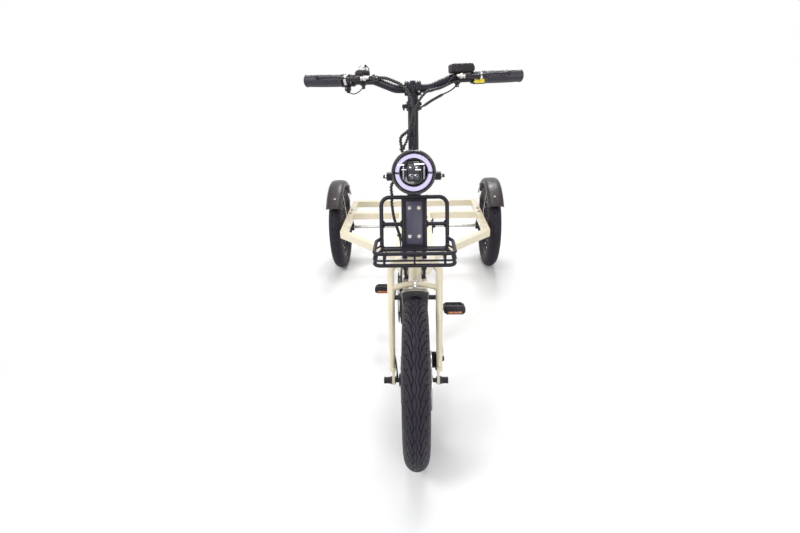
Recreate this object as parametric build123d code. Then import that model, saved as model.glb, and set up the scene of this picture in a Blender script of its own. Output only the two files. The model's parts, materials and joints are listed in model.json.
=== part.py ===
from build123d import *
import math
import os

# An electric cargo tricycle with one steered front wheel and a rear load deck.
# Millimetres, +Z up, the front towards -Y, the rider's left towards +X.
# The origin is on the ground, midway between the tyres' foremost and rearmost points.

os.makedirs("parts", exist_ok=True)

# ---- Overall sizes ----
wheel_base = 1304.0
rear_track = 792.0

# ---- Clearances ----
running_fit = 0.05        # radial clearance where a shaft turns or slides
seat_gap = 0.3            # gap between two parts that rest on each other
thin_gap = 0.05           # gap between a sleeve and what it is clamped on
cut_over = 1.0            # how far a cut runs past the faces it opens
drill_half = 60.0         # half the length of a cut across the frame

# ---- Wheels ----
front_tyre_radius = 228.0
front_tyre_width = 69.0
rear_tyre_radius = 218.0
rear_tyre_width = 66.0
front_seat_radius = 158.0     # where the tyre sits on the rim
rear_seat_radius = 158.0
rim_depth = 20.0
front_rim_width = 46.0
rear_rim_width = 40.0
spoke_radius = 1.3
spoke_count = 20
spoke_lean = 0.35             # radians, from a spoke's rim end round to its hub end
spoke_sink = 4.0              # how far a spoke runs into the rim
spoke_root_inset = 3.0        # from the hub's face
rim_wall = 3.0
rim_shoulder = 6.0            # height of the sloped sides above the rim's inner face
tyre_bulge_share = 0.58       # of the tyre's height, as the half-height of its oval
motor_radius = 75.0
motor_reach_right = 40.0      # from the centre to the motor's face on the rider's right
motor_reach_left = 30.0
motor_corner = 6.0
motor_boss_reach = 6.0        # of the round boss past the right-hand face
motor_boss_right_radius = 18.0
motor_boss_left_radius = 24.0
front_axle_radius = 6.0
rotor_radius = 80.0
rotor_thickness = 2.0
rotor_windows = 6
rotor_window_radius = 13.0
rotor_window_share = 0.62     # of the disc's radius, out to the windows' middles
rotor_x = 41.0
rotor_room = 1.5              # between the disc and each side of the caliper
caliper_room = 5.0            # between the hub motor's face and the caliper
caliper_back = 8.0
caliper_up = 38.0
caliper_length = 36.0
caliper_height = 48.0
caliper_lug_length = 51.4     # reaches forward to the fork's leg
caliper_outer_x = 64.0
caliper_corner = 6.0
caliper_lug_inset = 16.0      # lug's height, less than the body's
caliper_cap = (7.0, -4.0, 8.0)      # out from the body's side, back and up from its middle
caliper_cap_radius = 8.0
caliper_cap_length = 18.0
rotor_slot_room = 4.0         # between the disc's edge and the bottom of its slot

# ---- Steering ----
rake_angle = 20.0
fork_offset = 45.0
leg_radius = 10.0             # at the crown
leg_tip_radius = 8.0          # at the dropouts
leg_half_width_low = 63.5
leg_half_width_high = 67.5
leg_taper_up = 215.0          # the legs are tapered below this height
leg_low_end = 24.0            # along the steering axis, from the front axle's level
crown_above_tyre = 90.0       # fork's crown, above the tyre along the steering axis
crown_bend = 26.0
bridge_above_tyre = 19.0      # ends of the arched bridge between the legs
bridge_rise = 12.0
bridge_radius = 7.8
bridge_inset = 4.0            # its ends, inside the legs' middles at the crown
crown_race_radius = 20.0
dropout_x = 60.0
dropout_thickness = 6.0
dropout_radius = 12.0
dropout_arm_length = 36.0
dropout_arm_share = 1.5       # its width, in dropout radii
axle_washer_width = 5.0
axle_washer_radius = 12.0
axle_cap_radius = 9.0
axle_end_reach = 86.0
steerer_radius = 14.3
steerer_above_tube = 38.0
head_tube_radius = 20.0
head_tube_above_crown = 24.0
head_tube_length = 140.0
headset_radius = 23.0
headset_height = 7.5
stem_radius = 14.0
stem_socket_radius = 18.0
stem_collar_below_bar = 46.0
stem_collar_radius = 18.0
stem_collar_length = 22.0
stem_socket_above = 14.0      # its top, above the steerer's end
stem_tube_start = 8.0         # lower end of the stem's tube, above the steerer's end
stem_tube_stop = 4.0          # its upper end, below the middle of the handlebar
latch_pin_radius = 5.0
latch_pin_length = 11.0
latch_radius = 3.0
latch_ends = ((-9.0, -4.0, 0.0), (-9.0, 34.0, -10.0))   # from the pin's root
bar_height = 786.0            # handlebar's clamp, along the steering axis
bar_radius = 11.1
bar_clamp_radius = 18.0
bar_clamp_length = 44.0
bar_straight = 46.0           # half-width of the level middle of the handlebar
bar_knee = (106.0, 26.0, 22.0)      # x, back and up, from the clamp to the bend
bar_end = (309.0, 108.0, 22.5)
bar_bend = 34.0
grip_radius = 16.5
grip_corner = 2.5
grip_length = 126.0
pod_length = 15.0
pod_after_grip = 3.0
lever_clamp_from = 145.0      # from the handlebar's end
lever_clamp_length = 14.0
lever_clamp_wall = 4.5
lever_neck = (12.0, 34.0)     # its two ends, ahead of the handlebar
lever_neck_rise = 5.0
lever_neck_radius = 8.0
lever_radius = 4.5
lever_root_ahead = 30.0
lever_shoulder = (26.0, 44.0, 9.0)  # outwards from the clamp, ahead and up
lever_middle = (98.0, 42.0, 9.5)    # from the handlebar's end, ahead and up
lever_tip = (70.0, 45.0, 9.0)
lever_ball = (68.0, 45.5, 9.0)
lever_ball_radius = 7.0
lever_bend = 14.0
switch_radius = 15.0
throttle_radius = 16.0
display_from = 160.5
display_length = 66.0
display_depth = 30.0
display_height = 24.0
display_tilt = 8.0
display_ahead = 4.0           # its middle, ahead of the handlebar
display_corner = 5.0
display_clamp_in = 36.0       # its clamp, inwards from its outer end
display_clamp_length = 12.0
display_clamp_wall = 4.0
display_cut_out = 20.0        # the handlebar's cut, outside the display
display_cut_in = 90.0         # and inwards from its outer end
control_rise = 1.0            # of the display and the bell, off the handlebar
bell_from = 186.0
bell_radius = 21.0
bell_base_height = 16.0
bell_cap_radius = 12.0
bell_ahead = 2.0
bell_clamp_length = 10.0
bell_clamp_wall = 3.5
bell_base_flat = 4.0          # height of the base's upright edge

# ---- Frame ----
bracket_y_ahead = 879.0       # bottom bracket, ahead of the rear axle
bracket_height = 255.0
bracket_radius = 21.0
bracket_half_width = 34.0
spindle_radius = 9.0
main_tube_radius = 21.0
main_tube_start_up = 58.0     # its upper end, above the head tube's lower end
main_tube_knee_back = 96.0    # behind the steering axis
main_tube_knee_down = 52.0    # below the head tube's lower end, along the steering axis
main_tube_low_ahead = 96.0    # lower bend, ahead of the bottom bracket
main_tube_low_above = 42.0
main_tube_bend = 60.0
main_tube_run_past = 60.0     # drawn past the bottom bracket, then cut off there
seat_angle = 20.0             # seat tube, back from vertical
seat_tube_radius = 18.0
seat_tube_length = 284.0
seat_clamp_length = 16.0
seat_clamp_wall = 4.0
seat_bore_below = 8.0         # the bore's end, below the seat post's
seat_pin_root = 2.0           # its start, out from the seat tube
seat_pin_length = 18.0
seat_pin_radius = 6.0
seat_lever_ends = ((15.0, 0.0, 0.0), (22.0, 50.0, -8.0))    # from the pin's start
seat_lever_radius = 4.0
seat_post_radius = 13.6
seat_post_low = 84.0
seat_post_high = 372.0
stay_width = 20.0
stay_height = 30.0
stay_x = 70.0
stay_inner_x = 34.0
stay_turn_back = 215.0        # where the stays reach their full width
stay_slant_length = 85.0
stay_front_back = 40.0        # the stays' front end, behind the bottom bracket
stay_yoke_length = 34.0
stay_inner_turn = 6.0         # a stay's inner bends, behind its outer ones

# ---- Load deck ----
deck_above_axle = 85.0        # the deck's top face
deck_half_width = 350.0
deck_front_ahead = 312.0      # front corners, ahead of the rear axle
deck_rear_behind = 215.0
deck_tube_width = 30.0
deck_tube_height = 32.0
cross_rail_ahead = 8.0        # rear face of the middle cross rail, ahead of the axle
deck_join_back = 304.0        # where the slanted rails meet the stays
deck_corner_back = 14.0       # slanted rails' inner edge on the side rails, behind the corner
deck_hole_radius = 3.3
deck_hole_pitch = 100.0
deck_hole_ahead = 27.0        # middle of the holes, ahead of the rear axle

# ---- Rear axle ----
rear_axle_radius = 8.5
bearing_radius = 20.0
bearing_width = 22.0
bearing_inset = 15.0          # from the deck's outer face
bearing_web_inset = 4.0       # from the block's faces
bearing_web_length = 34.0
bearing_web_up = 8.0          # its lower end, above the axle
bearing_plate_length = 74.0
bearing_plate_thickness = 6.0
rear_hub_radius = 24.0
rear_hub_half = 26.0
rear_hub_waist = 4.0          # barrel's radius, less than the spokes' circle
rear_flange_x = 23.0
rear_flange_half = 2.0
rear_flange_rise = 3.0        # past the spokes' circle
sprocket_hub_half = 10.0
sprocket_hub_radius = 16.0
axle_overhang = 38.0          # past the middle of each rear wheel
axle_nut_radius = 13.0
axle_nut_width = 10.0
drum_radius = 45.0
drum_width = 28.0
drum_x = 77.0
anchor_gap = 3.0              # between the drum and its backing plate
anchor_thickness = 5.0
anchor_inset = 2.0            # plate's radius, less than the drum's
anchor_arm_width = 22.0
anchor_bore_room = 2.0
anchor_box = (14.0, 30.0, 16.0)
anchor_box_place = (9.0, -26.0, 8.0)    # from the plate's face and the axle

# ---- Drive ----
chain_pitch = 12.7
chainring_teeth = 44
sprocket_teeth = 20
chain_x = -48.0
chain_width = 7.0
chain_inset = 4.2             # from the pitch line to the chain's inner face
chain_outset = 4.2
sprocket_plate = 3.0
guard_radius = 90.0
guard_width = 24.0            # of its flat ring
guard_thickness = 2.0
guard_gap = 9.0               # its inner face, outside the chain's middle
guard_pins = 5
guard_pin_radius = 4.0
guard_pin_inset = 20.0
guard_pin_turn = 20.0
chainring_hub_radius = 16.0
chainring_hub_out = 14.0      # outside the chain's middle
chainring_hub_room = 1.5      # from the bottom bracket's end
chainring_windows = 5
chainring_window_radius = 15.0
chainring_window_reach = 50.0
chainring_window_turn = 56.0
crank_length = 165.0
crank_lift = 15.8             # the rider's left crank at rest, above straight ahead
crank_arm_x = 78.0
crank_arm_thickness = 13.0
crank_arm_width = 24.0
crank_taper = 0.75            # tip's width, as a share of the root's
crank_boss_rise = 1.0         # round ends, past the arm's edges
pedal_pin_short = 6.0         # the pin's end, inside the pedal's outer face
pedal_pin_radius = 6.0
pedal_inner_x = 90.0
pedal_width = 66.0
pedal_length = 66.0
pedal_height = 27.0
pedal_chamfer = 8.0
pedal_tilt = 17.5             # front edge up
reflector_drop = 7.5          # below the pedal's middle
reflector_height = 7.5
reflector_thickness = 2.0
reflector_inset = 11.0        # from the pedal's ends

# ---- Front rack and headlight ----
rack_ahead = 36.0             # rack plane, ahead of the steering axis
rack_above_tube_end = 16.0    # loop's foot, above the head tube's lower end
rack_height = 136.0
rack_middle_up = 65.0         # cross bar, above the loop's foot
rack_half_width = 87.6
rack_tube_radius = 5.4
rack_corner = 22.0            # upper corners
rack_foot_corner = 9.0
plate_lap = 2.0               # of the cross bars over the plate's edges
plate_half_width = 34.0
plate_thickness = 3.0
boss_radius = 7.0
boss_root = -10.0             # its start, inside the head tube
boss_half_spacing = 12.4
boss_low_up = 32.0            # above the loop's foot
boss_high_up = 107.0
tray_top_up = 31.0            # rails, above the tray's floor
tray_middle_up = 13.0
tray_reach = 113.0            # tray's front rail, ahead of the loop's foot
tray_half_width = 104.0
tray_corner = 16.0
tray_wire_radius = 2.6
tray_top_radius = 4.7
tray_floor_radius = 4.8
tray_wire_x = 75.0
tray_end_run = 10.0           # straight end of each rail, square to the loop
tray_flare = 30.0             # where a rail reaches its full width, ahead of its end
tray_wire_bend = 8.0
tray_side_share = 1.6         # side wires' inset, in wire radii
stay_bar_knee = 22.0          # its bends, behind the axis and short of the main tube's bend
stay_bar_x = 28.0
stay_bar_width = 16.0
stay_bar_thickness = 8.0
stay_bar_overlap = 40.0       # along the main tube, past its bend
stay_spacer_radius = 7.0
light_face_ahead = 38.5       # the headlight's face, ahead of the loop's top
light_above_rack = 71.9
light_radius = 57.0
light_depth = 58.0
bezel_width = 7.0
bucket_radius = 50.0
bezel_depth = 16.0
bezel_corner = 3.0
bucket_from = 10.0            # behind the headlight's face
bucket_corner = 16.0
lens_recess = 8.0
lens_back = 2.0               # lens's face, behind the bezel's
ring_from = 22.0              # mounting ring, behind the headlight's face
ring_length = 18.0
ring_wall = 4.0
ring_open = 20.0              # the ring's height that is cut away
neck_width = 34.0
neck_sink = 2.0               # neck's top, below the bucket's underside
foot_thickness = 4.0
ear_drop = 14.0
ear_block = 18.0              # square blocks beside the headlight
ear_start = 52.0
ear_reach = 79.0
ear_bolt_radius = 4.5

# ---- Fenders ----
front_fender_gap = 22.0       # outer face above the tyre
front_fender_width = 78.0
fender_thickness = 2.5
fender_corner = 8.0           # sloped edge between its top and sides
front_fender_ahead = -16.0    # its front edge lies behind the tyre's top
front_fender_behind = 66.0
front_fender_drop = 14.0
rear_fender_gap = 32.0
rear_fender_width = 79.0
rear_fender_ahead = 50.0
rear_fender_behind = 58.0
fender_drop = 26.0            # how far the fender's sides come down
stay_wire_radius = 1.6
stay_wire_root = 13.0         # its end, inside the fender's outer face
stay_wire_free = 34.0         # where it leaves the fender's side
stay_wire_knee = 20.0         # bend, above the deck's top face
stay_wire_bend = 10.0
stay_wires = ((-30.0, 70.0), (35.0, -80.0))     # degrees behind the top; foot ahead of the axle
fender_tab_radius = 2.0
fender_tab_above = 9.0        # past the middle of the fork's bridge

# ---- Cables: routes in the tricycle's frame ----
loom_radius = 4.0
cable_radius = 2.0
cable_bend_share = 0.45       # of the shorter run beside a bend, taken up by the bend
loom_upper_route = [(-88, -325.3, 979.9), (-70, -335, 978), (-50, -348, 971), (-30, -360, 962),
                    (-12, -369, 945), (-2, -379, 922), (2, -388, 895), (0, -396, 867),
                    (-14, -401, 850), (-34, -388, 830), (-31, -396, 800)]
loom_bend_route = [(-31, -396, 800), (-28, -404, 770), (-42, -424, 740), (-60, -442, 716),
                   (-60, -450, 690)]
loom_lower_route = [(-60, -450, 690), (-60, -458, 664), (-56, -464, 634), (-48, -465, 604),
                    (-41, -456, 576), (-36, -440, 546), (-34, -424, 514)]
display_cable_route = [(122.8, -315.8, 960.2), (104, -328, 945), (78, -340, 934),
                       (50, -352, 921), (32, -362, 911), (16, -366.7, 903)]
leg_cable_ends = (120.0, 236.0)     # up the fork's leg

# ---- Saddle and battery ----
saddle_length = 265.0
saddle_width = 140.0
saddle_nose_width = 52.0
saddle_thickness = 34.0
saddle_top = 668.0
saddle_ahead = 120.0
rail_radius = 3.5
rail_x = 20.0
rail_spread = 1.5             # their rear ends, in front half-widths
rail_bend = 9.0
rail_rise = 6.0               # above the seat post's top, at the clamp
rail_flat = 46.0              # half-length of their level middle
rail_front = (96.0, 74.0)     # their front end and its bend, ahead of the clamp
rail_rear = (76.0, 100.0)
saddle_clamp = (52.0, 34.0, 12.0)
saddle_clamp_back = 2.0
saddle_nose_taper = 2.0       # each side, over the nose's length
saddle_nose_length = 100.0
saddle_tail_length = 70.0
saddle_corner = 20.0
saddle_edge = 12.0
battery_width = 86.0
battery_depth = 80.0
battery_low = 92.0
battery_high = 264.0
battery_corner = 10.0

# ---- Places worked out from the sizes ----
crown_height = front_tyre_radius + crown_above_tyre
bridge_low = front_tyre_radius + bridge_above_tyre
bridge_high = bridge_low + bridge_rise
head_tube_low = crown_height + head_tube_above_crown
head_tube_high = head_tube_low + head_tube_length
steerer_top = head_tube_high + steerer_above_tube
stem_collar_height = bar_height - stem_collar_below_bar
rack_low = head_tube_low + rack_above_tube_end
rack_high = rack_low + rack_height
rack_middle = rack_low + rack_middle_up
front_fender_radius = front_tyre_radius + front_fender_gap
rear_fender_radius = rear_tyre_radius + rear_fender_gap
deck_height = rear_tyre_radius + deck_above_axle
bearing_x = deck_half_width - bearing_inset
rear_axle_y = (front_tyre_radius + wheel_base - rear_tyre_radius) / 2
front_axle_y = rear_axle_y - wheel_base
wheel_x = rear_track / 2
rake_sin = math.sin(math.radians(rake_angle))
rake_cos = math.cos(math.radians(rake_angle))
steer_base = Vector(
    0, front_axle_y + fork_offset * rake_cos, front_tyre_radius - fork_offset * rake_sin
)
steer_axis = Vector(0, rake_sin, rake_cos)
# Steering frame: x to the rider's left, y back, z up along the steering axis.
steer_frame = Plane(origin=steer_base, x_dir=(1, 0, 0), z_dir=steer_axis)
bracket_y = rear_axle_y - bracket_y_ahead
seat_sin = math.sin(math.radians(seat_angle))
seat_cos = math.cos(math.radians(seat_angle))
seat_frame = Plane(
    origin=(0, bracket_y, bracket_height), x_dir=(1, 0, 0), z_dir=(0, seat_sin, seat_cos)
)
chainring_pitch_radius = chain_pitch / 2 / math.sin(math.pi / chainring_teeth)
sprocket_pitch_radius = chain_pitch / 2 / math.sin(math.pi / sprocket_teeth)


def save(shape, name):
    """Write one named piece."""
    export_step(shape, f"parts/{name}.step")


def steer_point(x, back, up):
    """A point of the steering frame, in the tricycle's frame."""
    return steer_frame.from_local_coords(Vector(x, back, up))


def rod(start, end, radius):
    """A round bar between two points."""
    line = Vector(end) - Vector(start)
    return extrude(Plane(origin=start, z_dir=line) * Circle(radius), line.length)


def cross_rod(x_start, x_end, y, z, radius):
    """A round bar along X."""
    return rod(Vector(x_start, y, z), Vector(x_end, y, z), radius)


def tube_along(points, bends, radius):
    """A round bar along straight runs joined by tangent arcs."""
    path = FilletPolyline(*points, radius=bends)
    return sweep(Plane(origin=path @ 0, z_dir=path % 0) * Circle(radius), path=path)


def beam(start, end, width, height):
    """A level rectangular bar between two points on its centre line."""
    line = Vector(end) - Vector(start)
    section = Plane(origin=start, x_dir=line.cross(Vector(0, 0, 1)), z_dir=line)
    return extrude(section * Rectangle(width, height), line.length)


def spin(profile, x, y, z):
    """Revolve a profile, drawn with x across and y outwards, about an axle along X."""
    body = revolve(profile, axis=Axis.X)
    return Pos(x, y, z) * body


def disc(x_start, x_end, y, z, radius, bore=0.0):
    """A disc or ring about an axle along X."""
    body = cross_rod(x_start, x_end, y, z, radius)
    if bore > 0:
        body -= cross_rod(x_start - 1, x_end + 1, y, z, bore)
    return body


def slab(points, x_start, x_end):
    """A flat plate whose outline is drawn in Y and Z."""
    outline = make_face(Polyline(*[(y, z) for y, z in points], close=True))
    side = Plane(origin=(x_start, 0, 0), x_dir=(0, 1, 0), z_dir=(1, 0, 0))
    return extrude(side * outline, x_end - x_start)


# ---- Wheels ----
def tyre(x, y, radius, width, seat_radius):
    """A balloon tyre, rounded outside and open to the rim inside."""
    height = radius - seat_radius
    bulge = height * tyre_bulge_share
    section = Pos(0, radius - bulge) * Ellipse(width / 2, bulge)
    section -= Pos(0, seat_radius - bulge) * Rectangle(width * 2, bulge * 2)
    return spin(section, x, y, radius)


def rim_and_spokes(x, y, radius, seat_radius, width, hub_radius, hub_half_width):
    """A rim with wire spokes laced to the flanges of its hub."""
    outer = seat_radius - thin_gap
    inner = outer - rim_depth
    section = Polyline(
        (-width / 2, outer), (width / 2, outer), (width / 2 - rim_wall, inner + rim_shoulder),
        (width / 4, inner), (-width / 4, inner), (-width / 2 + rim_wall, inner + rim_shoulder),
        close=True,
    )
    wheel = spin(make_face(section), x, y, radius)
    for index in range(spoke_count):
        side = 1 if index % 2 else -1
        angle = 2 * math.pi * index / spoke_count
        lean = angle + (spoke_lean if index % 4 < 2 else -spoke_lean)
        reach = inner + spoke_sink
        start = Vector(
            x + side * (hub_half_width - spoke_root_inset),
            y + hub_radius * math.cos(lean),
            radius + hub_radius * math.sin(lean),
        )
        end = Vector(x, y + reach * math.cos(angle), radius + reach * math.sin(angle))
        wheel += rod(start, end, spoke_radius)
    return wheel


def front_wheel():
    y = front_axle_y
    z = front_tyre_radius
    save(tyre(0, y, front_tyre_radius, front_tyre_width, front_seat_radius), "front_tyre")
    bore = front_axle_radius + running_fit
    motor = disc(-motor_reach_right, motor_reach_left, y, z, motor_radius)
    motor = fillet(motor.edges().filter_by(GeomType.CIRCLE), motor_corner)
    motor += disc(-motor_reach_right - motor_boss_reach, -motor_reach_right + cut_over, y, z,
                  motor_boss_right_radius)
    motor += disc(motor_reach_left - cut_over, rotor_x - rotor_thickness / 2, y, z,
                  motor_boss_left_radius)
    motor -= cross_rod(-drill_half, drill_half, y, z, bore)
    save(motor, "hub_motor")
    rim = rim_and_spokes(
        0, y, front_tyre_radius, front_seat_radius, front_rim_width, motor_radius - 1,
        motor_reach_left - motor_corner,
    )
    rim -= disc(-motor_reach_right, motor_reach_left, y, z, motor_radius)
    save(rim, "front_rim")
    half = rotor_thickness / 2
    rotor = disc(rotor_x - half, rotor_x + half, y, z, rotor_radius, bore)
    for index in range(rotor_windows):
        angle = 360 * index / rotor_windows
        window = Rot(X=angle) * Pos(0, rotor_radius * rotor_window_share, 0) * Cylinder(
            rotor_window_radius, 4 * rotor_thickness, rotation=(0, 90, 0)
        )
        rotor -= Pos(rotor_x, y, z) * window
    save(rotor, "front_brake_disc")


def rear_wheel(side, name):
    """One rear wheel: tyre, then rim, spokes and hub."""
    x = side * wheel_x
    z = rear_tyre_radius
    save(tyre(x, rear_axle_y, rear_tyre_radius, rear_tyre_width, rear_seat_radius),
         f"rear_tyre_{name}")
    wheel = rim_and_spokes(
        x, rear_axle_y, rear_tyre_radius, rear_seat_radius, rear_rim_width, rear_hub_radius,
        rear_hub_half,
    )
    bore = rear_axle_radius + running_fit
    wheel += disc(x - rear_hub_half, x + rear_hub_half, rear_axle_y, z,
                  rear_hub_radius - rear_hub_waist)
    for flange in (-1, 1):
        flange_x = x + flange * rear_flange_x
        wheel += disc(flange_x - rear_flange_half, flange_x + rear_flange_half, rear_axle_y, z,
                      rear_hub_radius + rear_flange_rise)
    wheel -= cross_rod(x - drill_half, x + drill_half, rear_axle_y, z, bore)
    save(wheel, f"rear_wheel_{name}")


def rear_axle():
    y = rear_axle_y
    z = rear_tyre_radius
    end = wheel_x + axle_overhang
    axle = cross_rod(-end, end, y, z, rear_axle_radius)
    for side in (-1, 1):
        axle += cross_rod(side * (end - axle_nut_width), side * end, y, z, axle_nut_radius)
    save(axle, "rear_axle")
    bore = rear_axle_radius + thin_gap
    sprocket = disc(
        chain_x - sprocket_plate / 2, chain_x + sprocket_plate / 2, y, z,
        sprocket_pitch_radius - chain_inset - seat_gap, bore,
    )
    sprocket += disc(chain_x - sprocket_hub_half, chain_x + sprocket_hub_half, y, z,
                     sprocket_hub_radius, bore)
    save(sprocket, "rear_sprocket")
    drum_left = drum_x - drum_width / 2
    drum = disc(drum_left, drum_left + drum_width, y, z, drum_radius, bore)
    save(drum, "brake_drum")


# ---- Steered parts ----
def leg_back(up):
    """How far the fork's leg lies behind the steering axis at a height along it."""
    return -fork_offset * (crown_height - up) / (crown_height - leg_low_end)


def leg_x(up):
    """The half-width between the middles of the fork's legs at a height."""
    share = (crown_height - up) / (crown_height - leg_low_end)
    return leg_half_width_high + (leg_half_width_low - leg_half_width_high) * share


def leg_place(up):
    """The middle of the fork's leg at the rider's left, in the steering frame."""
    return Vector(leg_x(up), leg_back(up), up)


def leg_tip(margin):
    """The tapered part of that leg, in the steering frame."""
    low = leg_place(leg_low_end)
    high = leg_place(leg_taper_up)
    ends = [
        Plane(origin=low, z_dir=high - low) * Circle(leg_tip_radius + margin),
        Plane(origin=high, z_dir=high - low) * Circle(leg_radius + margin),
    ]
    return loft(ends)


def fork():
    taper = leg_place(leg_taper_up)
    corner = leg_place(crown_height)
    points = [steer_point(-taper.X, taper.Y, taper.Z), steer_point(-corner.X, corner.Y, corner.Z),
              steer_point(*corner), steer_point(*taper)]
    body = tube_along(points, crown_bend, leg_radius)
    tip = leg_tip(0)
    body += steer_frame.location * tip
    body += steer_frame.location * mirror(tip, Plane.YZ)
    lean = leg_back(bridge_low)
    reach = leg_half_width_high - bridge_inset
    arch = ThreePointArc(
        steer_point(-reach, lean, bridge_low), steer_point(0, lean, bridge_high),
        steer_point(reach, lean, bridge_low),
    )
    body += sweep(Plane(origin=arch @ 0, z_dir=arch % 0) * Circle(bridge_radius), path=arch)
    steerer = rod(steer_point(0, 0, crown_height), steer_point(0, 0, steerer_top), steerer_radius)
    race = rod(
        steer_point(0, 0, crown_height), steer_point(0, 0, head_tube_low - headset_height - cut_over),
        crown_race_radius,
    )
    body += steerer + race
    plate = Pos(0, -fork_offset, 0) * Cylinder(dropout_radius, dropout_thickness, rotation=(0, 90, 0))
    plate += Pos(0, -fork_offset, dropout_arm_length / 2) * Box(
        dropout_thickness, dropout_radius * dropout_arm_share, dropout_arm_length
    )
    plate -= Pos(0, -fork_offset, 0) * Cylinder(
        front_axle_radius + thin_gap, drill_half, rotation=(0, 90, 0)
    )
    for side in (-1, 1):
        body += steer_frame.location * Pos(side * dropout_x, 0, 0) * plate
    save(body, "fork")


def front_axle():
    y = front_axle_y
    z = front_tyre_radius
    axle = cross_rod(-axle_end_reach, axle_end_reach, y, z, front_axle_radius)
    inner = dropout_x + dropout_thickness / 2 + thin_gap
    for side in (-1, 1):
        middle = inner + axle_washer_width
        washer = cross_rod(side * inner, side * middle, y, z, axle_washer_radius)
        cap = cross_rod(side * middle, side * (axle_end_reach + cut_over), y, z,
                        axle_cap_radius)
        axle += washer + cap
    save(axle, "front_axle")


def arc_shell(x, y, z, radius, width, ahead, behind, drop):
    """A fender: a channel bent round a wheel, from ahead of the top to behind it."""
    corner = fender_corner
    outer = Polyline(
        (-width / 2, radius - drop), (-width / 2, radius - corner), (-width / 2 + corner, radius),
        (width / 2 - corner, radius), (width / 2, radius - corner), (width / 2, radius - drop),
        close=True,
    )
    wall = fender_thickness
    inner_half = width / 2 - wall
    inset = corner - wall / 2
    sill = radius - corner - wall / 2
    inner = Polyline(
        (-inner_half, radius - drop - cut_over), (-inner_half, sill),
        (-inner_half + inset, radius - wall), (inner_half - inset, radius - wall),
        (inner_half, sill), (inner_half, radius - drop - cut_over), close=True
    )
    section = make_face(outer) - make_face(inner)
    arc = revolve(section, axis=Axis.X, revolution_arc=ahead + behind)
    return Pos(x, y, z) * Rot(X=90 - behind) * arc


def front_fender():
    shell = arc_shell(
        0, front_axle_y, front_tyre_radius, front_fender_radius, front_fender_width,
        front_fender_ahead, front_fender_behind, front_fender_drop,
    )
    tab_back = leg_back(bridge_low) - bridge_radius - fender_tab_radius - seat_gap
    shell_up = math.sqrt(front_fender_radius ** 2 - (tab_back + fork_offset) ** 2)
    shell += rod(
        steer_point(0, tab_back, shell_up - fender_thickness / 2),
        steer_point(0, tab_back, bridge_high + fender_tab_above), fender_tab_radius,
    )
    save(shell, "front_fender")


def front_caliper():
    """The disc brake's caliper, on a lug behind the fork's leg at the rider's left."""
    inner = motor_reach_left + caliper_room
    outer = caliper_outer_x
    width = outer - inner
    body = Pos((inner + outer) / 2, caliper_back, caliper_up) * Box(
        width, caliper_length, caliper_height
    )
    body = fillet(body.edges().filter_by(Axis.X), caliper_corner)
    front = caliper_back - caliper_length / 2
    body += Pos(outer - width / 4, front, caliper_up) * Box(
        width / 2, caliper_lug_length, caliper_height - caliper_lug_inset
    )
    cap_x, cap_back, cap_up = caliper_cap
    body += Pos(outer + cap_x, caliper_back + cap_back, caliper_up + cap_up) * Cylinder(
        caliper_cap_radius, caliper_cap_length, rotation=(0, 90, 0)
    )
    slot_half = rotor_thickness / 2 + rotor_room
    body -= Pos(0, -fork_offset, 0) * disc(
        rotor_x - slot_half, rotor_x + slot_half, 0, 0, rotor_radius + rotor_slot_room
    )
    body -= leg_tip(seat_gap)
    body = body.solids().sort_by(Axis.Y)[-1]
    save(steer_frame.location * body, "front_caliper")


def stem():
    socket_low = head_tube_high + headset_height + 1
    bore = steerer_radius + thin_gap
    socket = rod(
        steer_point(0, 0, socket_low), steer_point(0, 0, steerer_top + stem_socket_above),
        stem_socket_radius,
    )
    socket -= rod(steer_point(0, 0, socket_low - 1), steer_point(0, 0, steerer_top + thin_gap), bore)
    body = socket + rod(
        steer_point(0, 0, steerer_top + stem_tube_start),
        steer_point(0, 0, bar_height - stem_tube_stop), stem_radius,
    )
    collar_low = stem_collar_height - stem_collar_length / 2
    body += rod(
        steer_point(0, 0, collar_low), steer_point(0, 0, collar_low + stem_collar_length),
        stem_collar_radius,
    )
    centre = steer_point(0, 0, bar_height)
    half = bar_clamp_length / 2
    body += cross_rod(-half, half, centre.Y, centre.Z, bar_clamp_radius)
    body -= cross_rod(-half - 1, half + 1, centre.Y, centre.Z, bar_radius + thin_gap)
    root = steer_point(-stem_collar_radius + cut_over, 0, stem_collar_height)
    body += rod(root, root + Vector(-latch_pin_length, 0, 0), latch_pin_radius)
    near, far = latch_ends
    body += rod(root + Vector(*near), root + Vector(*far), latch_radius)
    save(body, "stem")


bar_centre = steer_point(0, 0, bar_height)


def bar_point(side, along, ahead=0.0, up=0.0):
    """A point beside the handlebar's grip, measured from its outer end inwards."""
    knee = Vector(side * bar_knee[0], bar_knee[1], bar_knee[2])
    end = Vector(side * bar_end[0], bar_end[1], bar_end[2])
    inward = (knee - end).normalized()
    forward = Vector(0, 0, 1).cross(inward) * side
    return bar_centre + end + inward * along + forward * ahead + Vector(0, 0, up)


def handlebar():
    points = []
    for side in (-1, 1):
        half = [
            bar_point(side, 1.0),
            bar_centre + Vector(side * bar_knee[0], bar_knee[1], bar_knee[2]),
            bar_centre + Vector(side * bar_straight, 0, 0),
        ]
        points += half if side < 0 else half[::-1]
    save(tube_along(points, bar_bend, bar_radius), "handlebar")


def grip(side):
    start = bar_point(side, 0)
    inner = bar_point(side, grip_length)
    body = rod(start, inner, grip_radius)
    body = fillet(body.edges().filter_by(GeomType.CIRCLE), grip_corner)
    bar_bore = rod(bar_point(side, 1.0 - thin_gap), bar_point(side, grip_length + 5 * cut_over),
                   bar_radius + thin_gap)
    return body - bar_bore


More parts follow.
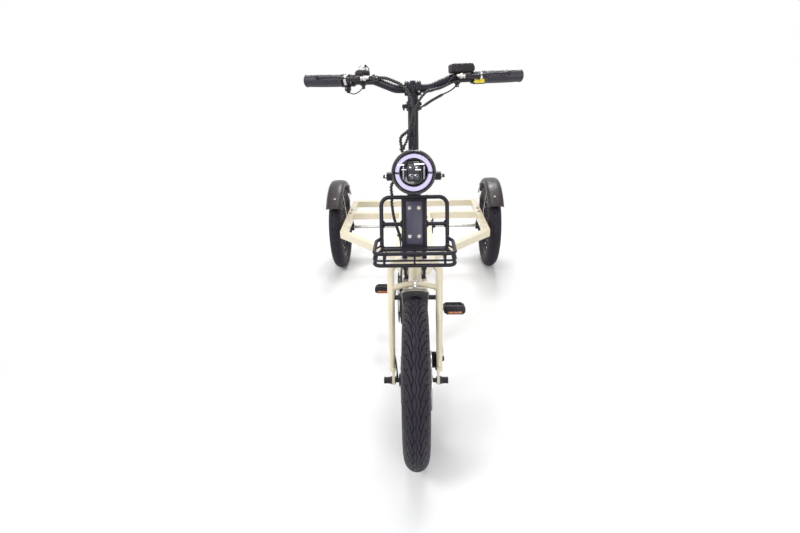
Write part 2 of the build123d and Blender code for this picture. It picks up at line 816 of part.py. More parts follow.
def brake_lever(side):
    """The clamp on the handlebar, and the blade with a ball end ahead of the grip."""
    near = lever_clamp_from
    far = near + lever_clamp_length
    middle = (near + far) / 2
    clamp = rod(bar_point(side, near), bar_point(side, far), bar_radius + lever_clamp_wall)
    root, tip = lever_neck
    clamp += rod(bar_point(side, middle, root), bar_point(side, middle, tip, lever_neck_rise),
                 lever_neck_radius)
    clamp -= rod(bar_point(side, near - cut_over), bar_point(side, far + cut_over),
                 bar_radius + thin_gap)
    out, ahead, up = lever_shoulder
    points = [
        bar_point(side, middle, lever_root_ahead, lever_neck_rise),
        bar_point(side, middle - out, ahead, up),
        bar_point(side, *lever_middle), bar_point(side, *lever_tip),
    ]
    blade = tube_along(points, lever_bend, lever_radius)
    blade += Pos(*bar_point(side, *lever_ball)) * Sphere(lever_ball_radius)
    return clamp + blade


def bar_sleeve(side, start, length, radius):
    """A housing clamped round the handlebar."""
    body = rod(bar_point(side, start), bar_point(side, start + length), radius)
    return body - rod(
        bar_point(side, start - cut_over), bar_point(side, start + length + cut_over),
        bar_radius + thin_gap,
    )


def controls():
    save(grip(1) + grip(-1), "grips")
    save(brake_lever(1) + brake_lever(-1), "brake_levers")
    pod_start = grip_length + pod_after_grip
    save(bar_sleeve(1, pod_start, pod_length, switch_radius), "light_switch")
    save(bar_sleeve(-1, pod_start, pod_length, throttle_radius), "throttle")
    low = bar_radius + control_rise
    middle = bar_point(1, display_from + display_length / 2, display_ahead,
                       low + display_height / 2)
    turn = math.degrees(math.atan2(bar_end[1] - bar_knee[1], bar_end[0] - bar_knee[0]))
    screen = Box(display_length, display_depth, display_height)
    screen = fillet(screen.edges().filter_by(Axis.Y), display_corner)
    display = Pos(*middle) * Rot(Z=turn) * Rot(X=display_tilt) * screen
    display -= rod(bar_point(1, display_from - display_cut_out),
                   bar_point(1, display_from + display_cut_in),
                   bar_radius + thin_gap)
    display += bar_sleeve(1, display_from + display_clamp_in, display_clamp_length,
                          bar_radius + display_clamp_wall)
    save(display, "display")
    base = bar_point(-1, bell_from, bell_ahead)
    clamp = bar_sleeve(-1, bell_from - bell_clamp_length / 2, bell_clamp_length,
                       bar_radius + bell_clamp_wall)
    up = Vector(0, 0, 1)
    low = base + up * (bar_radius + control_rise)
    high = low + up * bell_base_height
    body = rod(low, high, bell_radius)
    rim = body.edges().filter_by(GeomType.CIRCLE).sort_by(Axis.Z)[-1]
    body = fillet(rim, bell_base_height - bell_base_flat)
    cap = Pos(*high) * Sphere(bell_cap_radius)
    cap &= Pos(high.X, high.Y, high.Z + bell_cap_radius / 2 - cut_over) * Box(
        bell_cap_radius * 3, bell_cap_radius * 3, bell_cap_radius + 2 * cut_over
    )
    save(clamp + body + cap, "bell")


# ---- Frame ----
def head_tube():
    body = rod(
        steer_point(0, 0, head_tube_low), steer_point(0, 0, head_tube_high), head_tube_radius
    )
    for up in (rack_low + boss_low_up, rack_low + boss_high_up):
        for side in (-1, 1):
            x = side * boss_half_spacing
            body += rod(steer_point(x, boss_root, up),
                        steer_point(x, plate_thickness / 2 + seat_gap - rack_ahead, up),
                        boss_radius)
    bore = steerer_radius + running_fit
    body -= rod(steer_point(0, 0, head_tube_low - 1), steer_point(0, 0, head_tube_high + 1), bore)
    save(body, "head_tube")
    rings = []
    for low in (head_tube_low - headset_height, head_tube_high):
        ring = rod(steer_point(0, 0, low), steer_point(0, 0, low + headset_height), headset_radius)
        ring -= rod(
            steer_point(0, 0, low - 1), steer_point(0, 0, low + headset_height + 1), bore
        )
        rings.append(ring)
    save(Compound(children=rings), "headset_cups")


def main_tube_solid(radius):
    """The main tube's whole run, from the head tube down to the bottom bracket."""
    start = steer_point(0, 0, head_tube_low + main_tube_start_up)
    knee = steer_point(0, main_tube_knee_back, head_tube_low - main_tube_knee_down)
    low = Vector(0, bracket_y - main_tube_low_ahead, bracket_height + main_tube_low_above)
    end = Vector(0, bracket_y + main_tube_run_past, bracket_height)
    return tube_along([start, knee, low, end], main_tube_bend, radius)


def main_tube():
    body = main_tube_solid(main_tube_radius)
    body -= rod(
        steer_point(0, 0, head_tube_low - 1), steer_point(0, 0, head_tube_high), head_tube_radius
    )
    body -= rod(
        steer_point(0, 0, head_tube_low - drill_half), steer_point(0, 0, head_tube_low + seat_gap),
        headset_radius + seat_gap,
    )
    body -= stay_yoke()
    body -= cross_rod(-drill_half, drill_half, bracket_y, bracket_height, bracket_radius)
    body -= rod(Vector(0, bracket_y, bracket_height),
                seat_frame.from_local_coords(Vector(0, 0, seat_tube_length)), seat_tube_radius)
    keep = body.solids().sort_by(Axis.Y)[0]
    save(keep, "main_tube")


def bottom_bracket():
    half = bracket_half_width
    shell = disc(-half, half, bracket_y, bracket_height, bracket_radius,
                 spindle_radius + running_fit)
    save(shell, "bottom_bracket")


def seat_tube():
    low = seat_frame.from_local_coords(Vector(0, 0, 0))
    top = seat_frame.from_local_coords(Vector(0, 0, seat_tube_length))
    body = rod(low, top, seat_tube_radius)
    clamp_low = seat_frame.from_local_coords(Vector(0, 0, seat_tube_length - seat_clamp_length))
    body += rod(clamp_low, top, seat_tube_radius + seat_clamp_wall)
    body -= rod(
        seat_frame.from_local_coords(Vector(0, 0, seat_post_low - seat_bore_below)),
        seat_frame.from_local_coords(Vector(0, 0, seat_tube_length + cut_over)),
        seat_post_radius + running_fit,
    )
    body -= cross_rod(-drill_half, drill_half, bracket_y, bracket_height, bracket_radius)
    body = body.solids().sort_by(Axis.Z)[-1]
    root = seat_frame.from_local_coords(
        Vector(seat_tube_radius + seat_pin_root, 0, seat_tube_length - seat_clamp_length / 2)
    )
    body += rod(root, root + Vector(seat_pin_length, 0, 0), seat_pin_radius)
    near, far = seat_lever_ends
    body += rod(root + Vector(*near), root + Vector(*far), seat_lever_radius)
    save(body, "seat_tube")


def stay_yoke():
    """The cross piece that joins the stays to the bottom bracket and the seat tube."""
    yoke = Pos(
        0, bracket_y + stay_front_back - stay_yoke_length / 2, deck_height - stay_height / 2
    ) * Box(2 * stay_inner_x + stay_width, stay_yoke_length, stay_height)
    yoke -= cross_rod(-drill_half, drill_half, bracket_y, bracket_height, bracket_radius)
    yoke -= rod(seat_frame.origin,
                seat_frame.from_local_coords(Vector(0, 0, seat_tube_length)), seat_tube_radius)
    return yoke


def chain_stays():
    """Two level bars from the bottom bracket back to the middle of the load deck."""
    z = deck_height - stay_height / 2
    rear = rear_axle_y - cross_rail_ahead - deck_tube_width
    turn = bracket_y + stay_turn_back
    inner_y = turn - stay_slant_length
    front = bracket_y + stay_front_back - stay_yoke_length
    half = stay_width / 2
    solids = []
    for side in (-1, 1):
        out = stay_x + half
        near = stay_inner_x + half
        outline = make_face(Polyline(
            (side * near, front), (side * near, inner_y), (side * out, turn),
            (side * out, rear), (side * (out - stay_width), rear),
            (side * (out - stay_width), turn + stay_inner_turn),
            (side * (near - stay_width), inner_y + stay_inner_turn),
            (side * (near - stay_width), front), close=True
        ))
        bar = extrude(Plane.XY.offset(z - stay_height / 2) * outline, stay_height)
        solids.append(bar)
    bracket = cross_rod(-drill_half, drill_half, bracket_y, bracket_height, bracket_radius)
    bars = solids[0] + solids[1] - bracket
    save(bars + stay_yoke(), "chain_stays")


def deck_rails():
    """The load deck: side rails, two cross rails and two slanted front rails."""
    z = deck_height - deck_tube_height / 2
    front = rear_axle_y - deck_front_ahead
    rear = rear_axle_y + deck_rear_behind
    half = deck_half_width - deck_tube_width / 2
    sides = []
    hole_middle = rear_axle_y - deck_hole_ahead
    for side in (-1, 1):
        bar = beam(Vector(side * half, front, z), Vector(side * half, rear, z),
                   deck_tube_width, deck_tube_height)
        for offset in (-2, -1, 1, 2):
            hole = Pos(side * half, hole_middle + offset * deck_hole_pitch, z) * Cylinder(
                deck_hole_radius, deck_tube_height + 2
            )
            bar -= hole
        sides.append(bar)
    inner = deck_half_width - deck_tube_width
    rear_bar = Pos(0, rear - deck_tube_width / 2, z) * Box(
        2 * inner, deck_tube_width, deck_tube_height
    )
    middle_y = rear_axle_y - cross_rail_ahead - deck_tube_width / 2
    middle_bar = Pos(0, middle_y, z) * Box(2 * inner, deck_tube_width, deck_tube_height)
    frame = sides[0] + sides[1] + rear_bar + middle_bar
    join_y = bracket_y + deck_join_back
    tip_x = stay_x + stay_width / 2
    for side in (-1, 1):
        outer = side * deck_half_width
        bar = make_face(Polyline(
            (outer, front), (side * tip_x, join_y - deck_tube_width / 2),
            (side * tip_x, join_y + deck_tube_width / 2), (side * inner, front + deck_corner_back),
            (side * inner, front), close=True
        ))
        frame += extrude(Plane.XY.offset(z - deck_tube_height / 2) * bar, deck_tube_height)
    save(frame, "load_deck")


def axle_bearings():
    """A bearing block under each side rail, hung from a bolted plate."""
    z = rear_tyre_radius
    under = deck_height - deck_tube_height
    blocks = []
    for side in (-1, 1):
        x = side * bearing_x
        block = disc(x - bearing_width / 2, x + bearing_width / 2, rear_axle_y, z,
                     bearing_radius)
        web_low = z + bearing_web_up
        block += Pos(x, rear_axle_y, (web_low + under) / 2) * Box(
            bearing_width - 2 * bearing_web_inset, bearing_web_length, under - web_low
        )
        block += Pos(x, rear_axle_y, under - bearing_plate_thickness / 2) * Box(
            bearing_width, bearing_plate_length, bearing_plate_thickness
        )
        block -= cross_rod(x - drill_half, x + drill_half, rear_axle_y, z,
                           rear_axle_radius + running_fit)
        blocks.append(block)
    save(Compound(children=blocks), "axle_bearings")


def brake_anchor():
    """The drum brake's fixed backing plate and the arm that holds it to the cross rail."""
    x = drum_x + drum_width / 2 + anchor_gap
    z = rear_tyre_radius
    under = deck_height - deck_tube_height
    arm_y = rear_axle_y - cross_rail_ahead - deck_tube_width / 2
    plate = disc(x, x + anchor_thickness, rear_axle_y, z, drum_radius - anchor_inset)
    plate += Pos(x + anchor_thickness / 2, arm_y, (z + under) / 2) * Box(
        anchor_thickness, anchor_arm_width, under - z
    )
    plate -= cross_rod(x - drill_half, x + drill_half, rear_axle_y, z,
                       rear_axle_radius + anchor_bore_room)
    out, back, up = anchor_box_place
    plate += Pos(x + out, rear_axle_y + back, z + up) * Box(*anchor_box)
    save(plate, "brake_anchor")


def rear_fenders():
    shells = []
    wires = []
    for side in (-1, 1):
        x = side * wheel_x
        shells.append(arc_shell(
            x, rear_axle_y, rear_tyre_radius, rear_fender_radius, rear_fender_width,
            rear_fender_ahead, rear_fender_behind, fender_drop,
        ))
        edge_x = x - side * (rear_fender_width / 2 + stay_wire_radius + thin_gap)
        side_x = side * (deck_half_width + seat_gap + stay_wire_radius)
        for angle, foot_ahead in stay_wires:
            lean = math.radians(angle)
            points = []
            for depth in (stay_wire_root, stay_wire_free):
                reach = rear_fender_radius - depth
                points.append(Vector(
                    edge_x, rear_axle_y + reach * math.sin(lean),
                    rear_tyre_radius + reach * math.cos(lean),
                ))
            foot_y = rear_axle_y - foot_ahead
            points.append(Vector(side_x, foot_y, deck_height + stay_wire_knee))
            points.append(Vector(side_x, foot_y, deck_height - deck_tube_height / 2))
            wires.append(tube_along(points, stay_wire_bend, stay_wire_radius))
    save(Compound(children=shells), "rear_fenders")
    save(Compound(children=wires), "fender_stays")


# ---- Front rack and headlight ----
def rack_point(x, up, ahead=0.0):
    """A point of the rack's plane, which is parallel to the steering axis."""
    return steer_point(x, -rack_ahead - ahead, up)


def front_rack():
    """The loop, its plate and cross bar, and the two bars back to the main tube."""
    half = rack_half_width
    sides = []
    for side in (-1, 1):
        corners = [rack_point(0, rack_low), rack_point(side * half, rack_low),
                   rack_point(side * half, rack_high), rack_point(0, rack_high)]
        sides.append(tube_along(corners, [rack_foot_corner, rack_corner], rack_tube_radius))
        sides.append(rod(rack_point(side * (plate_half_width - plate_lap), rack_middle),
                         rack_point(side * half, rack_middle), rack_tube_radius))
    rack = sides[0] + sides[1] + sides[2] + sides[3]
    rack += steer_frame.location * Pos(0, -rack_ahead, (rack_low + rack_high) / 2) * Box(
        2 * plate_half_width, plate_thickness, rack_high - rack_low
    )
    for bar in rack_stays():
        rack += bar
    save(rack, "front_rack")


def rack_tray():
    """A shallow wire tray ahead of the rack's loop."""
    foot = rack_point(0, rack_low)
    front = foot.Y - tray_reach
    tray_floor = foot.Z
    tray = None
    tray_top = tray_floor + tray_top_up
    for z, radius in ((tray_top, tray_top_radius),
                      (tray_floor + tray_middle_up, tray_wire_radius),
                      (tray_floor, tray_floor_radius)):
        loop_y = foot.Y + (z - foot.Z) * rake_sin / rake_cos
        back = loop_y - (rack_tube_radius + seat_gap + radius * rake_sin) / rake_cos
        if z == tray_floor:
            back = floor_back = loop_y - rack_tube_radius - radius - seat_gap
        half_front = tray_half_width - radius
        half_back = rack_half_width
        points = [
            Vector(-half_back, back, z), Vector(-half_back, back - tray_end_run, z),
            Vector(-half_front, back - tray_flare, z), Vector(-half_front, front, z),
            Vector(half_front, front, z), Vector(half_front, back - tray_flare, z),
            Vector(half_back, back - tray_end_run, z), Vector(half_back, back, z),
        ]
        rail = tube_along(points, tray_corner, radius)
        tray = rail if tray is None else tray + rail
    tray += rod(Vector(-rack_half_width, floor_back, tray_floor),
                Vector(rack_half_width, floor_back, tray_floor), tray_floor_radius)
    for x in (-tray_wire_x, 0, tray_wire_x):
        wire = [Vector(x, front, tray_top), Vector(x, front, tray_floor),
                Vector(x, floor_back, tray_floor)]
        tray += tube_along(wire, tray_wire_bend, tray_wire_radius)
    middle = (front + floor_back) / 2
    half = tray_half_width - tray_wire_radius * tray_side_share
    for side in (-1, 1):
        tray += rod(Vector(side * half, middle, tray_floor),
                    Vector(side * half, middle, tray_top), tray_wire_radius)
    save(tray, "rack_tray")


def strip_outline(points, half):
    """The two sides of a band of even width along a bent line in a plane."""
    left = []
    right = []
    for index, (x, y) in enumerate(points):
        before = points[max(index - 1, 0)]
        after = points[min(index + 1, len(points) - 1)]
        heading_in = math.atan2(y - before[1], x - before[0]) if index else None
        heading_out = math.atan2(after[1] - y, after[0] - x) if index < len(points) - 1 else None
        if heading_in is None:
            heading_in = heading_out
        if heading_out is None:
            heading_out = heading_in
        middle = (heading_in + heading_out) / 2
        reach = half / math.cos((heading_out - heading_in) / 2)
        left.append((x - reach * math.sin(middle), y + reach * math.cos(middle)))
        right.append((x + reach * math.sin(middle), y - reach * math.cos(middle)))
    return left + right[::-1]


def rack_stays():
    """Two flat bars from the rack, past the head tube, bolted to the main tube's sides."""
    side_plane = Plane(
        origin=steer_base, x_dir=Vector(0, rake_cos, -rake_sin), z_dir=(1, 0, 0)
    )
    knee = Vector(0, main_tube_knee_back, head_tube_low - main_tube_knee_down)
    low = steer_frame.to_local_coords(
        Vector(0, bracket_y - main_tube_low_ahead, bracket_height + main_tube_low_above)
    )
    end = knee + (low - knee).normalized() * stay_bar_overlap
    level = rack_low + stay_bar_width / 2
    path = [(-rack_ahead, level), (stay_bar_knee, level),
            (knee.Y - stay_bar_knee, knee.Z + stay_bar_knee), (end.Y, end.Z)]
    outline = make_face(Polyline(*strip_outline(path, stay_bar_width / 2), close=True))
    bolt = steer_frame.from_local_coords(end)
    keep_out = main_tube_solid(main_tube_radius + seat_gap)
    bars = []
    for side in (-1, 1):
        offset = side * stay_bar_x - stay_bar_thickness / 2
        bar = extrude(side_plane.offset(offset) * outline, stay_bar_thickness)
        spacer = cross_rod(0, side * stay_bar_x, bolt.Y, bolt.Z, stay_spacer_radius) - keep_out
        bars.append(bar + spacer)
    return bars


def headlight():
    rack_top = rack_point(0, rack_high)
    face = rack_top.Y - light_face_ahead
    z = rack_top.Z + light_above_rack
    bezel = rod(Vector(0, face, z), Vector(0, face + bezel_depth, z), light_radius)
    bezel = fillet(bezel.edges().filter_by(GeomType.CIRCLE), bezel_corner)
    bucket = rod(Vector(0, face + bucket_from, z), Vector(0, face + light_depth, z),
                 bucket_radius)
    back = bucket.edges().filter_by(GeomType.CIRCLE).sort_by(Axis.Y)[-1]
    bucket = fillet(back, bucket_corner)
    housing = bezel + bucket
    recess = light_radius - bezel_width
    housing -= rod(Vector(0, face - cut_over, z), Vector(0, face + lens_recess, z), recess)
    save(housing, "headlight_housing")
    lens = rod(Vector(0, face + lens_back, z), Vector(0, face + lens_recess - thin_gap, z),
               recess - thin_gap)
    save(lens, "headlight_lens")
    near = face + ring_from
    far = near + ring_length
    outer = bucket_radius + thin_gap + ring_wall
    bore = rod(Vector(0, near - cut_over, z), Vector(0, far + cut_over, z),
               bucket_radius + thin_gap)
    middle = (near + far) / 2
    ring = rod(Vector(0, near, z), Vector(0, far, z), outer) - bore
    ring -= Pos(0, middle, z + outer) * Box(3 * outer, 2 * ring_length, 2 * outer + ring_open)
    neck_low = rack_point(0, rack_high).Z + rack_tube_radius + thin_gap
    neck_high = z - bucket_radius - neck_sink + cut_over
    ring += Pos(0, middle, (neck_low + neck_high) / 2) * Box(
        neck_width, ring_length, neck_high - neck_low
    ) - bore
    foot = rack_point(0, rack_high + rack_tube_radius + foot_thickness / 2 + thin_gap)
    ring += Pos(0, (foot.Y + middle) / 2, neck_low + foot_thickness / 2) * Box(
        neck_width, abs(foot.Y - middle) + ring_length, foot_thickness)
    for side in (-1, 1):
        ring += Pos(side * (ear_start + ear_block / 2), middle, z - ear_drop) * Box(
            ear_block, far - near, ear_block)
        ring += cross_rod(side * (ear_start + cut_over), side * ear_reach, middle, z - ear_drop,
                          ear_bolt_radius)
    save(ring, "headlight_bracket")


# ---- Saddle and battery ----
def saddle():
    post = rod(seat_frame.from_local_coords(Vector(0, 0, seat_post_low)),
               seat_frame.from_local_coords(Vector(0, 0, seat_post_high)), seat_post_radius)
    top = seat_frame.from_local_coords(Vector(0, 0, seat_post_high))
    bottom_z = saddle_top - saddle_thickness
    post += Pos(0, top.Y + saddle_clamp_back, top.Z) * Box(*saddle_clamp)
    rail_z = top.Z + rail_rise
    for side in (-1, 1):
        x = side * rail_x
        rear_x = x * rail_spread
        under = bottom_z - rail_radius - seat_gap
        points = [
            Vector(x, top.Y - rail_front[0], under), Vector(x, top.Y - rail_front[1], under),
            Vector(x, top.Y - rail_flat, rail_z), Vector(x, top.Y + rail_flat, rail_z),
            Vector(rear_x, top.Y + rail_rear[0], under),
            Vector(rear_x, top.Y + rail_rear[1], under),
        ]
        post += tube_along(points, rail_bend, rail_radius)
    save(post, "seat_post")
    nose = top.Y - saddle_ahead
    tail = nose + saddle_length
    wide = saddle_width / 2
    narrow = saddle_nose_width / 2
    flared = narrow + saddle_nose_taper
    neck = nose + saddle_nose_length
    flank = tail - saddle_tail_length
    outline = FilletPolyline(
        (-narrow, nose), (-flared, neck), (-wide, flank), (-wide, tail),
        (wide, tail), (wide, flank), (flared, neck), (narrow, nose),
        radius=saddle_corner, close=True,
    )
    pad = extrude(Plane.XY.offset(bottom_z) * make_face(outline), saddle_thickness)
    pad = fillet(pad.edges().group_by(Axis.Z)[-1], saddle_edge)
    save(pad, "saddle")


def battery():
    back = seat_tube_radius + seat_gap
    case = Pos(0, back + battery_depth / 2, (battery_low + battery_high) / 2) * Box(
        battery_width, battery_depth, battery_high - battery_low
    )
    case = fillet(case.edges().filter_by(Axis.Z), battery_corner)
    save(seat_frame.location * case, "battery")


# ---- Drive ----
def belt_face(radius_front, radius_rear):
    """The outline of a loop round the chainring and the rear sprocket, in Y and Z."""
    front = Vector(bracket_y, bracket_height)
    rear = Vector(rear_axle_y, rear_tyre_radius)
    line = rear - front
    heading = math.atan2(line.Y, line.X)
    lean = math.acos((radius_front - radius_rear) / line.length)
    corners = []
    for angle, centre, radius in (
        (heading + lean, front, radius_front), (heading + lean, rear, radius_rear),
        (heading - lean, rear, radius_rear), (heading - lean, front, radius_front),
    ):
        corners.append((centre.X + radius * math.cos(angle), centre.Y + radius * math.sin(angle)))
    face = make_face(Polyline(*corners, close=True))
    face += Pos(front.X, front.Y) * Circle(radius_front)
    face += Pos(rear.X, rear.Y) * Circle(radius_rear)
    return face


def chain():
    outer = belt_face(chainring_pitch_radius + chain_outset, sprocket_pitch_radius + chain_outset)
    inner = belt_face(chainring_pitch_radius - chain_inset, sprocket_pitch_radius - chain_inset)
    side = Plane(origin=(chain_x - chain_width / 2, 0, 0), x_dir=(0, 1, 0), z_dir=(1, 0, 0))
    save(extrude(side * (outer - inner), chain_width), "chain")


def crank():
    y = bracket_y
    z = bracket_height
    outer = crank_arm_x + crank_arm_thickness / 2
    body = cross_rod(-outer, outer, y, z, spindle_radius)
    lift = math.radians(crank_lift)
    step = Vector(0, -math.cos(lift), math.sin(lift)) * crank_length
    half = crank_arm_width / 2
    tip_half = half * crank_taper
    for side in (-1, 1):
        near = side * (crank_arm_x - crank_arm_thickness / 2)
        far = side * (crank_arm_x + crank_arm_thickness / 2)
        tip = step * side
        across = Vector(0, step.Z, -step.Y).normalized()
        corners = [across * half, across * tip_half + tip, across * -tip_half + tip,
                   across * -half]
        body += slab([(y + c.Y, z + c.Z) for c in corners], min(near, far), max(near, far))
        body += cross_rod(near, far, y, z, half + crank_boss_rise)
        body += cross_rod(near, far, y + tip.Y, z + tip.Z, tip_half + crank_boss_rise)
        body += cross_rod(far, side * (pedal_inner_x + pedal_width - pedal_pin_short),
                          y + tip.Y, z + tip.Z, pedal_pin_radius)
    save(body, "crank_arms")
    bore = spindle_radius + thin_gap
    ring = disc(chain_x - sprocket_plate / 2, chain_x + sprocket_plate / 2, y, z,
                chainring_pitch_radius - chain_inset - seat_gap, bore)
    ring += disc(chain_x - chainring_hub_out, -bracket_half_width - chainring_hub_room, y, z,
                 chainring_hub_radius, bore)
    guard_near = chain_x - guard_gap
    guard_far = guard_near - guard_thickness
    guard = disc(guard_far, guard_near, y, z, guard_radius, guard_radius - guard_width)
    pin_reach = guard_radius - guard_pin_inset
    for index in range(guard_pins):
        angle = math.radians(360 * index / guard_pins + guard_pin_turn)
        pin_y = y + pin_reach * math.cos(angle)
        pin_z = z + pin_reach * math.sin(angle)
        guard += cross_rod(guard_far, chain_x, pin_y, pin_z, guard_pin_radius)
    for index in range(chainring_windows):
        angle = 360 * index / chainring_windows + chainring_window_turn
        window = Rot(X=angle) * Pos(0, chainring_window_reach, 0) * Cylinder(
            chainring_window_radius, 4 * sprocket_plate, rotation=(0, 90, 0)
        )
        ring -= Pos(chain_x, y, z) * window
    save(ring + guard, "chainring")


def pedal(side, name):
    lift = math.radians(crank_lift)
    y = bracket_y - side * crank_length * math.cos(lift)
    z = bracket_height + side * crank_length * math.sin(lift)
    x = side * (pedal_inner_x + pedal_width / 2)
    place = Pos(x, y, z) * Rot(X=-pedal_tilt)
    block = Box(pedal_width, pedal_length, pedal_height)
    block = chamfer(block.edges().filter_by(Axis.Y), pedal_chamfer)
    block -= Cylinder(pedal_pin_radius + running_fit, pedal_width * 2, rotation=(0, 90, 0))
    save(place * block, f"pedal_{name}")
    strips = []
    for end in (-1, 1):
        strip_y = end * (pedal_length / 2 + reflector_thickness / 2 + thin_gap)
        strips.append(place * Pos(0, strip_y, -reflector_drop) * Box(
            pedal_width - 2 * reflector_inset, reflector_thickness, reflector_height))
    save(Compound(children=strips), f"pedal_reflectors_{name}")


# ---- Cables ----
def cable_along(route, radius, name):
    """A cable along a route whose corners are rounded as far as their runs allow."""
    points = [Vector(*point) for point in route]
    bends = []
    for before, corner, after in zip(points, points[1:], points[2:]):
        run_in = corner - before
        run_out = after - corner
        half_turn = math.radians(run_in.get_angle(run_out)) / 2
        shorter = min(run_in.length, run_out.length)
        bends.append(cable_bend_share * shorter / math.tan(half_turn))
    print(name, "bend radii", [round(bend) for bend in bends])
    path = FilletPolyline(*points, radius=bends)
    return sweep(Plane(origin=path @ 0, z_dir=path % 0) * Circle(radius), path=path)


def cables():
    save(cable_along(loom_bend_route, loom_radius, "loom_bend"), "loom_bend")
    save(cable_along(loom_lower_route, loom_radius, "loom_lower"), "loom_lower")
    inner = leg_radius + cable_radius + seat_gap
    leg = [steer_point(-leg_x(up), leg_back(up) + inner, up) for up in leg_cable_ends]
    save(Compound(children=[
        cable_along(loom_upper_route, loom_radius, "loom_upper"),
        cable_along(display_cable_route, cable_radius, "display_cable"),
        rod(leg[0], leg[1], cable_radius),
    ]), "steering_cables")


front_wheel()
rear_wheel(1, "left")
rear_wheel(-1, "right")
rear_axle()
fork()
front_axle()
front_fender()
front_caliper()
stem()
handlebar()
controls()
head_tube()
main_tube()
bottom_bracket()
seat_tube()
chain_stays()
deck_rails()
axle_bearings()
brake_anchor()
rear_fenders()
front_rack()
rack_tray()
headlight()
saddle()
battery()
chain()
crank()
pedal(1, "left")
pedal(-1, "right")
cables()
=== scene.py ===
import json
from math import acos, atan2, copysign, cos, exp, hypot, pi, radians, sin, sqrt

import bmesh
import bpy
from mathutils import Matrix, Vector
from mathutils.bvhtree import BVHTree


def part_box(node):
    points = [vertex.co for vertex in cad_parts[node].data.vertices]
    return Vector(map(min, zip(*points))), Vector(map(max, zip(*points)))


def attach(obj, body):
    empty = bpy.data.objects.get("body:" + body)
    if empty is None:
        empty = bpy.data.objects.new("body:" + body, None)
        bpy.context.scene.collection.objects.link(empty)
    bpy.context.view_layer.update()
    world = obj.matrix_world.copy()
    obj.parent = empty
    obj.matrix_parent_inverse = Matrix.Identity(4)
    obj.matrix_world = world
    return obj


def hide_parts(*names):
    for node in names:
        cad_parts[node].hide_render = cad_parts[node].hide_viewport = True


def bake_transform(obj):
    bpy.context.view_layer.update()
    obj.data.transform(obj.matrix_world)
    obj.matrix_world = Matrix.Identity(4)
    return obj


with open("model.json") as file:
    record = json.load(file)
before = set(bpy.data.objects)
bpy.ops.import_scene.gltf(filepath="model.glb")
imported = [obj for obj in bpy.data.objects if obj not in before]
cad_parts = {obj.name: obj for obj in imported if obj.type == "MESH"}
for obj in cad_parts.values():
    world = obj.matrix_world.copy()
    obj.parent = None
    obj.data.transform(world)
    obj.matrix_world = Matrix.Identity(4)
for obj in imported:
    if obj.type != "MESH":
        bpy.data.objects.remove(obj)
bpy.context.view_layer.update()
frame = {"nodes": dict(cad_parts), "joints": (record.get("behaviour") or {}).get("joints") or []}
nodes = frame["nodes"]

X = Vector((1, 0, 0))
Y = Vector((0, 1, 0))
Z = Vector((0, 0, 1))

# ---- Places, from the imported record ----
joints = {joint["name"]: joint for joint in frame["joints"]}
steer_base = Vector(joints["steering_turn"]["pos_m"])
steer_axis = Vector(joints["steering_turn"]["axis"]).normalized()
steer_back = X.cross(steer_axis) * -1
front_hub = Vector(joints["front_wheel_spin"]["pos_m"])
rear_hub = Vector(joints["rear_axle_spin"]["pos_m"])
left_hub = Vector(joints["rear_left_wheel_spin"]["pos_m"])
right_hub = Vector((-left_hub.x, left_hub.y, left_hub.z))
crank_hub = Vector(joints["crank_spin"]["pos_m"])
seat_axis = Vector(joints["seat_height"]["axis"]).normalized()


def steer(x, back, up):
    """A point of the steering frame: x, behind the axis and up along it, in metres."""
    return steer_base + X * x + steer_back * back + steer_axis * up

# ---- Mesh building ----
def turned(z_dir, x_hint=None):
    """A rotation whose Z points along z_dir and whose X leans to x_hint."""
    z = Vector(z_dir).normalized()
    hint = Vector(x_hint) if x_hint is not None else (X if abs(z.x) < 0.9 else Y)
    y = z.cross(hint).normalized()
    x = y.cross(z)
    return Matrix((x, y, z)).transposed().to_4x4()


def at(origin, z_dir=Z, x_hint=None):
    """A frame at a place, turned as turned() says."""
    return Matrix.Translation(origin) @ turned(z_dir, x_hint)


def shift(x, y, z):
    """A frame moved by so much along the axes of the one before it."""
    return Matrix.Translation((x, y, z))


def polar(radius, angle, height=0.0):
    """A point at an angle about Z."""
    return Vector((radius * cos(angle), radius * sin(angle), height))


def turns(count, first=0.0):
    """Angles at equal steps round a circle; first is the first one's share of a step."""
    return [2 * pi * (k + first) / count for k in range(count)]


def eased(points, steps=6, closed=False):
    """A Catmull-Rom curve through points."""
    points = [Vector(p) for p in points]
    count = len(points)
    out = []
    for i in range(count if closed else count - 1):
        if closed:
            a, b, c, d = (points[(i + k) % count] for k in (-1, 0, 1, 2))
        else:
            a = points[max(i - 1, 0)]
            b, c = points[i], points[i + 1]
            d = points[min(i + 2, count - 1)]
        for s in range(steps):
            t = s / steps
            out.append(0.5 * (2 * b + (c - a) * t + (2 * a - 5 * b + 4 * c - d) * t * t +
                (3 * b - a - 3 * c + d) * t ** 3))
    if not closed:
        out.append(points[-1])
    return out


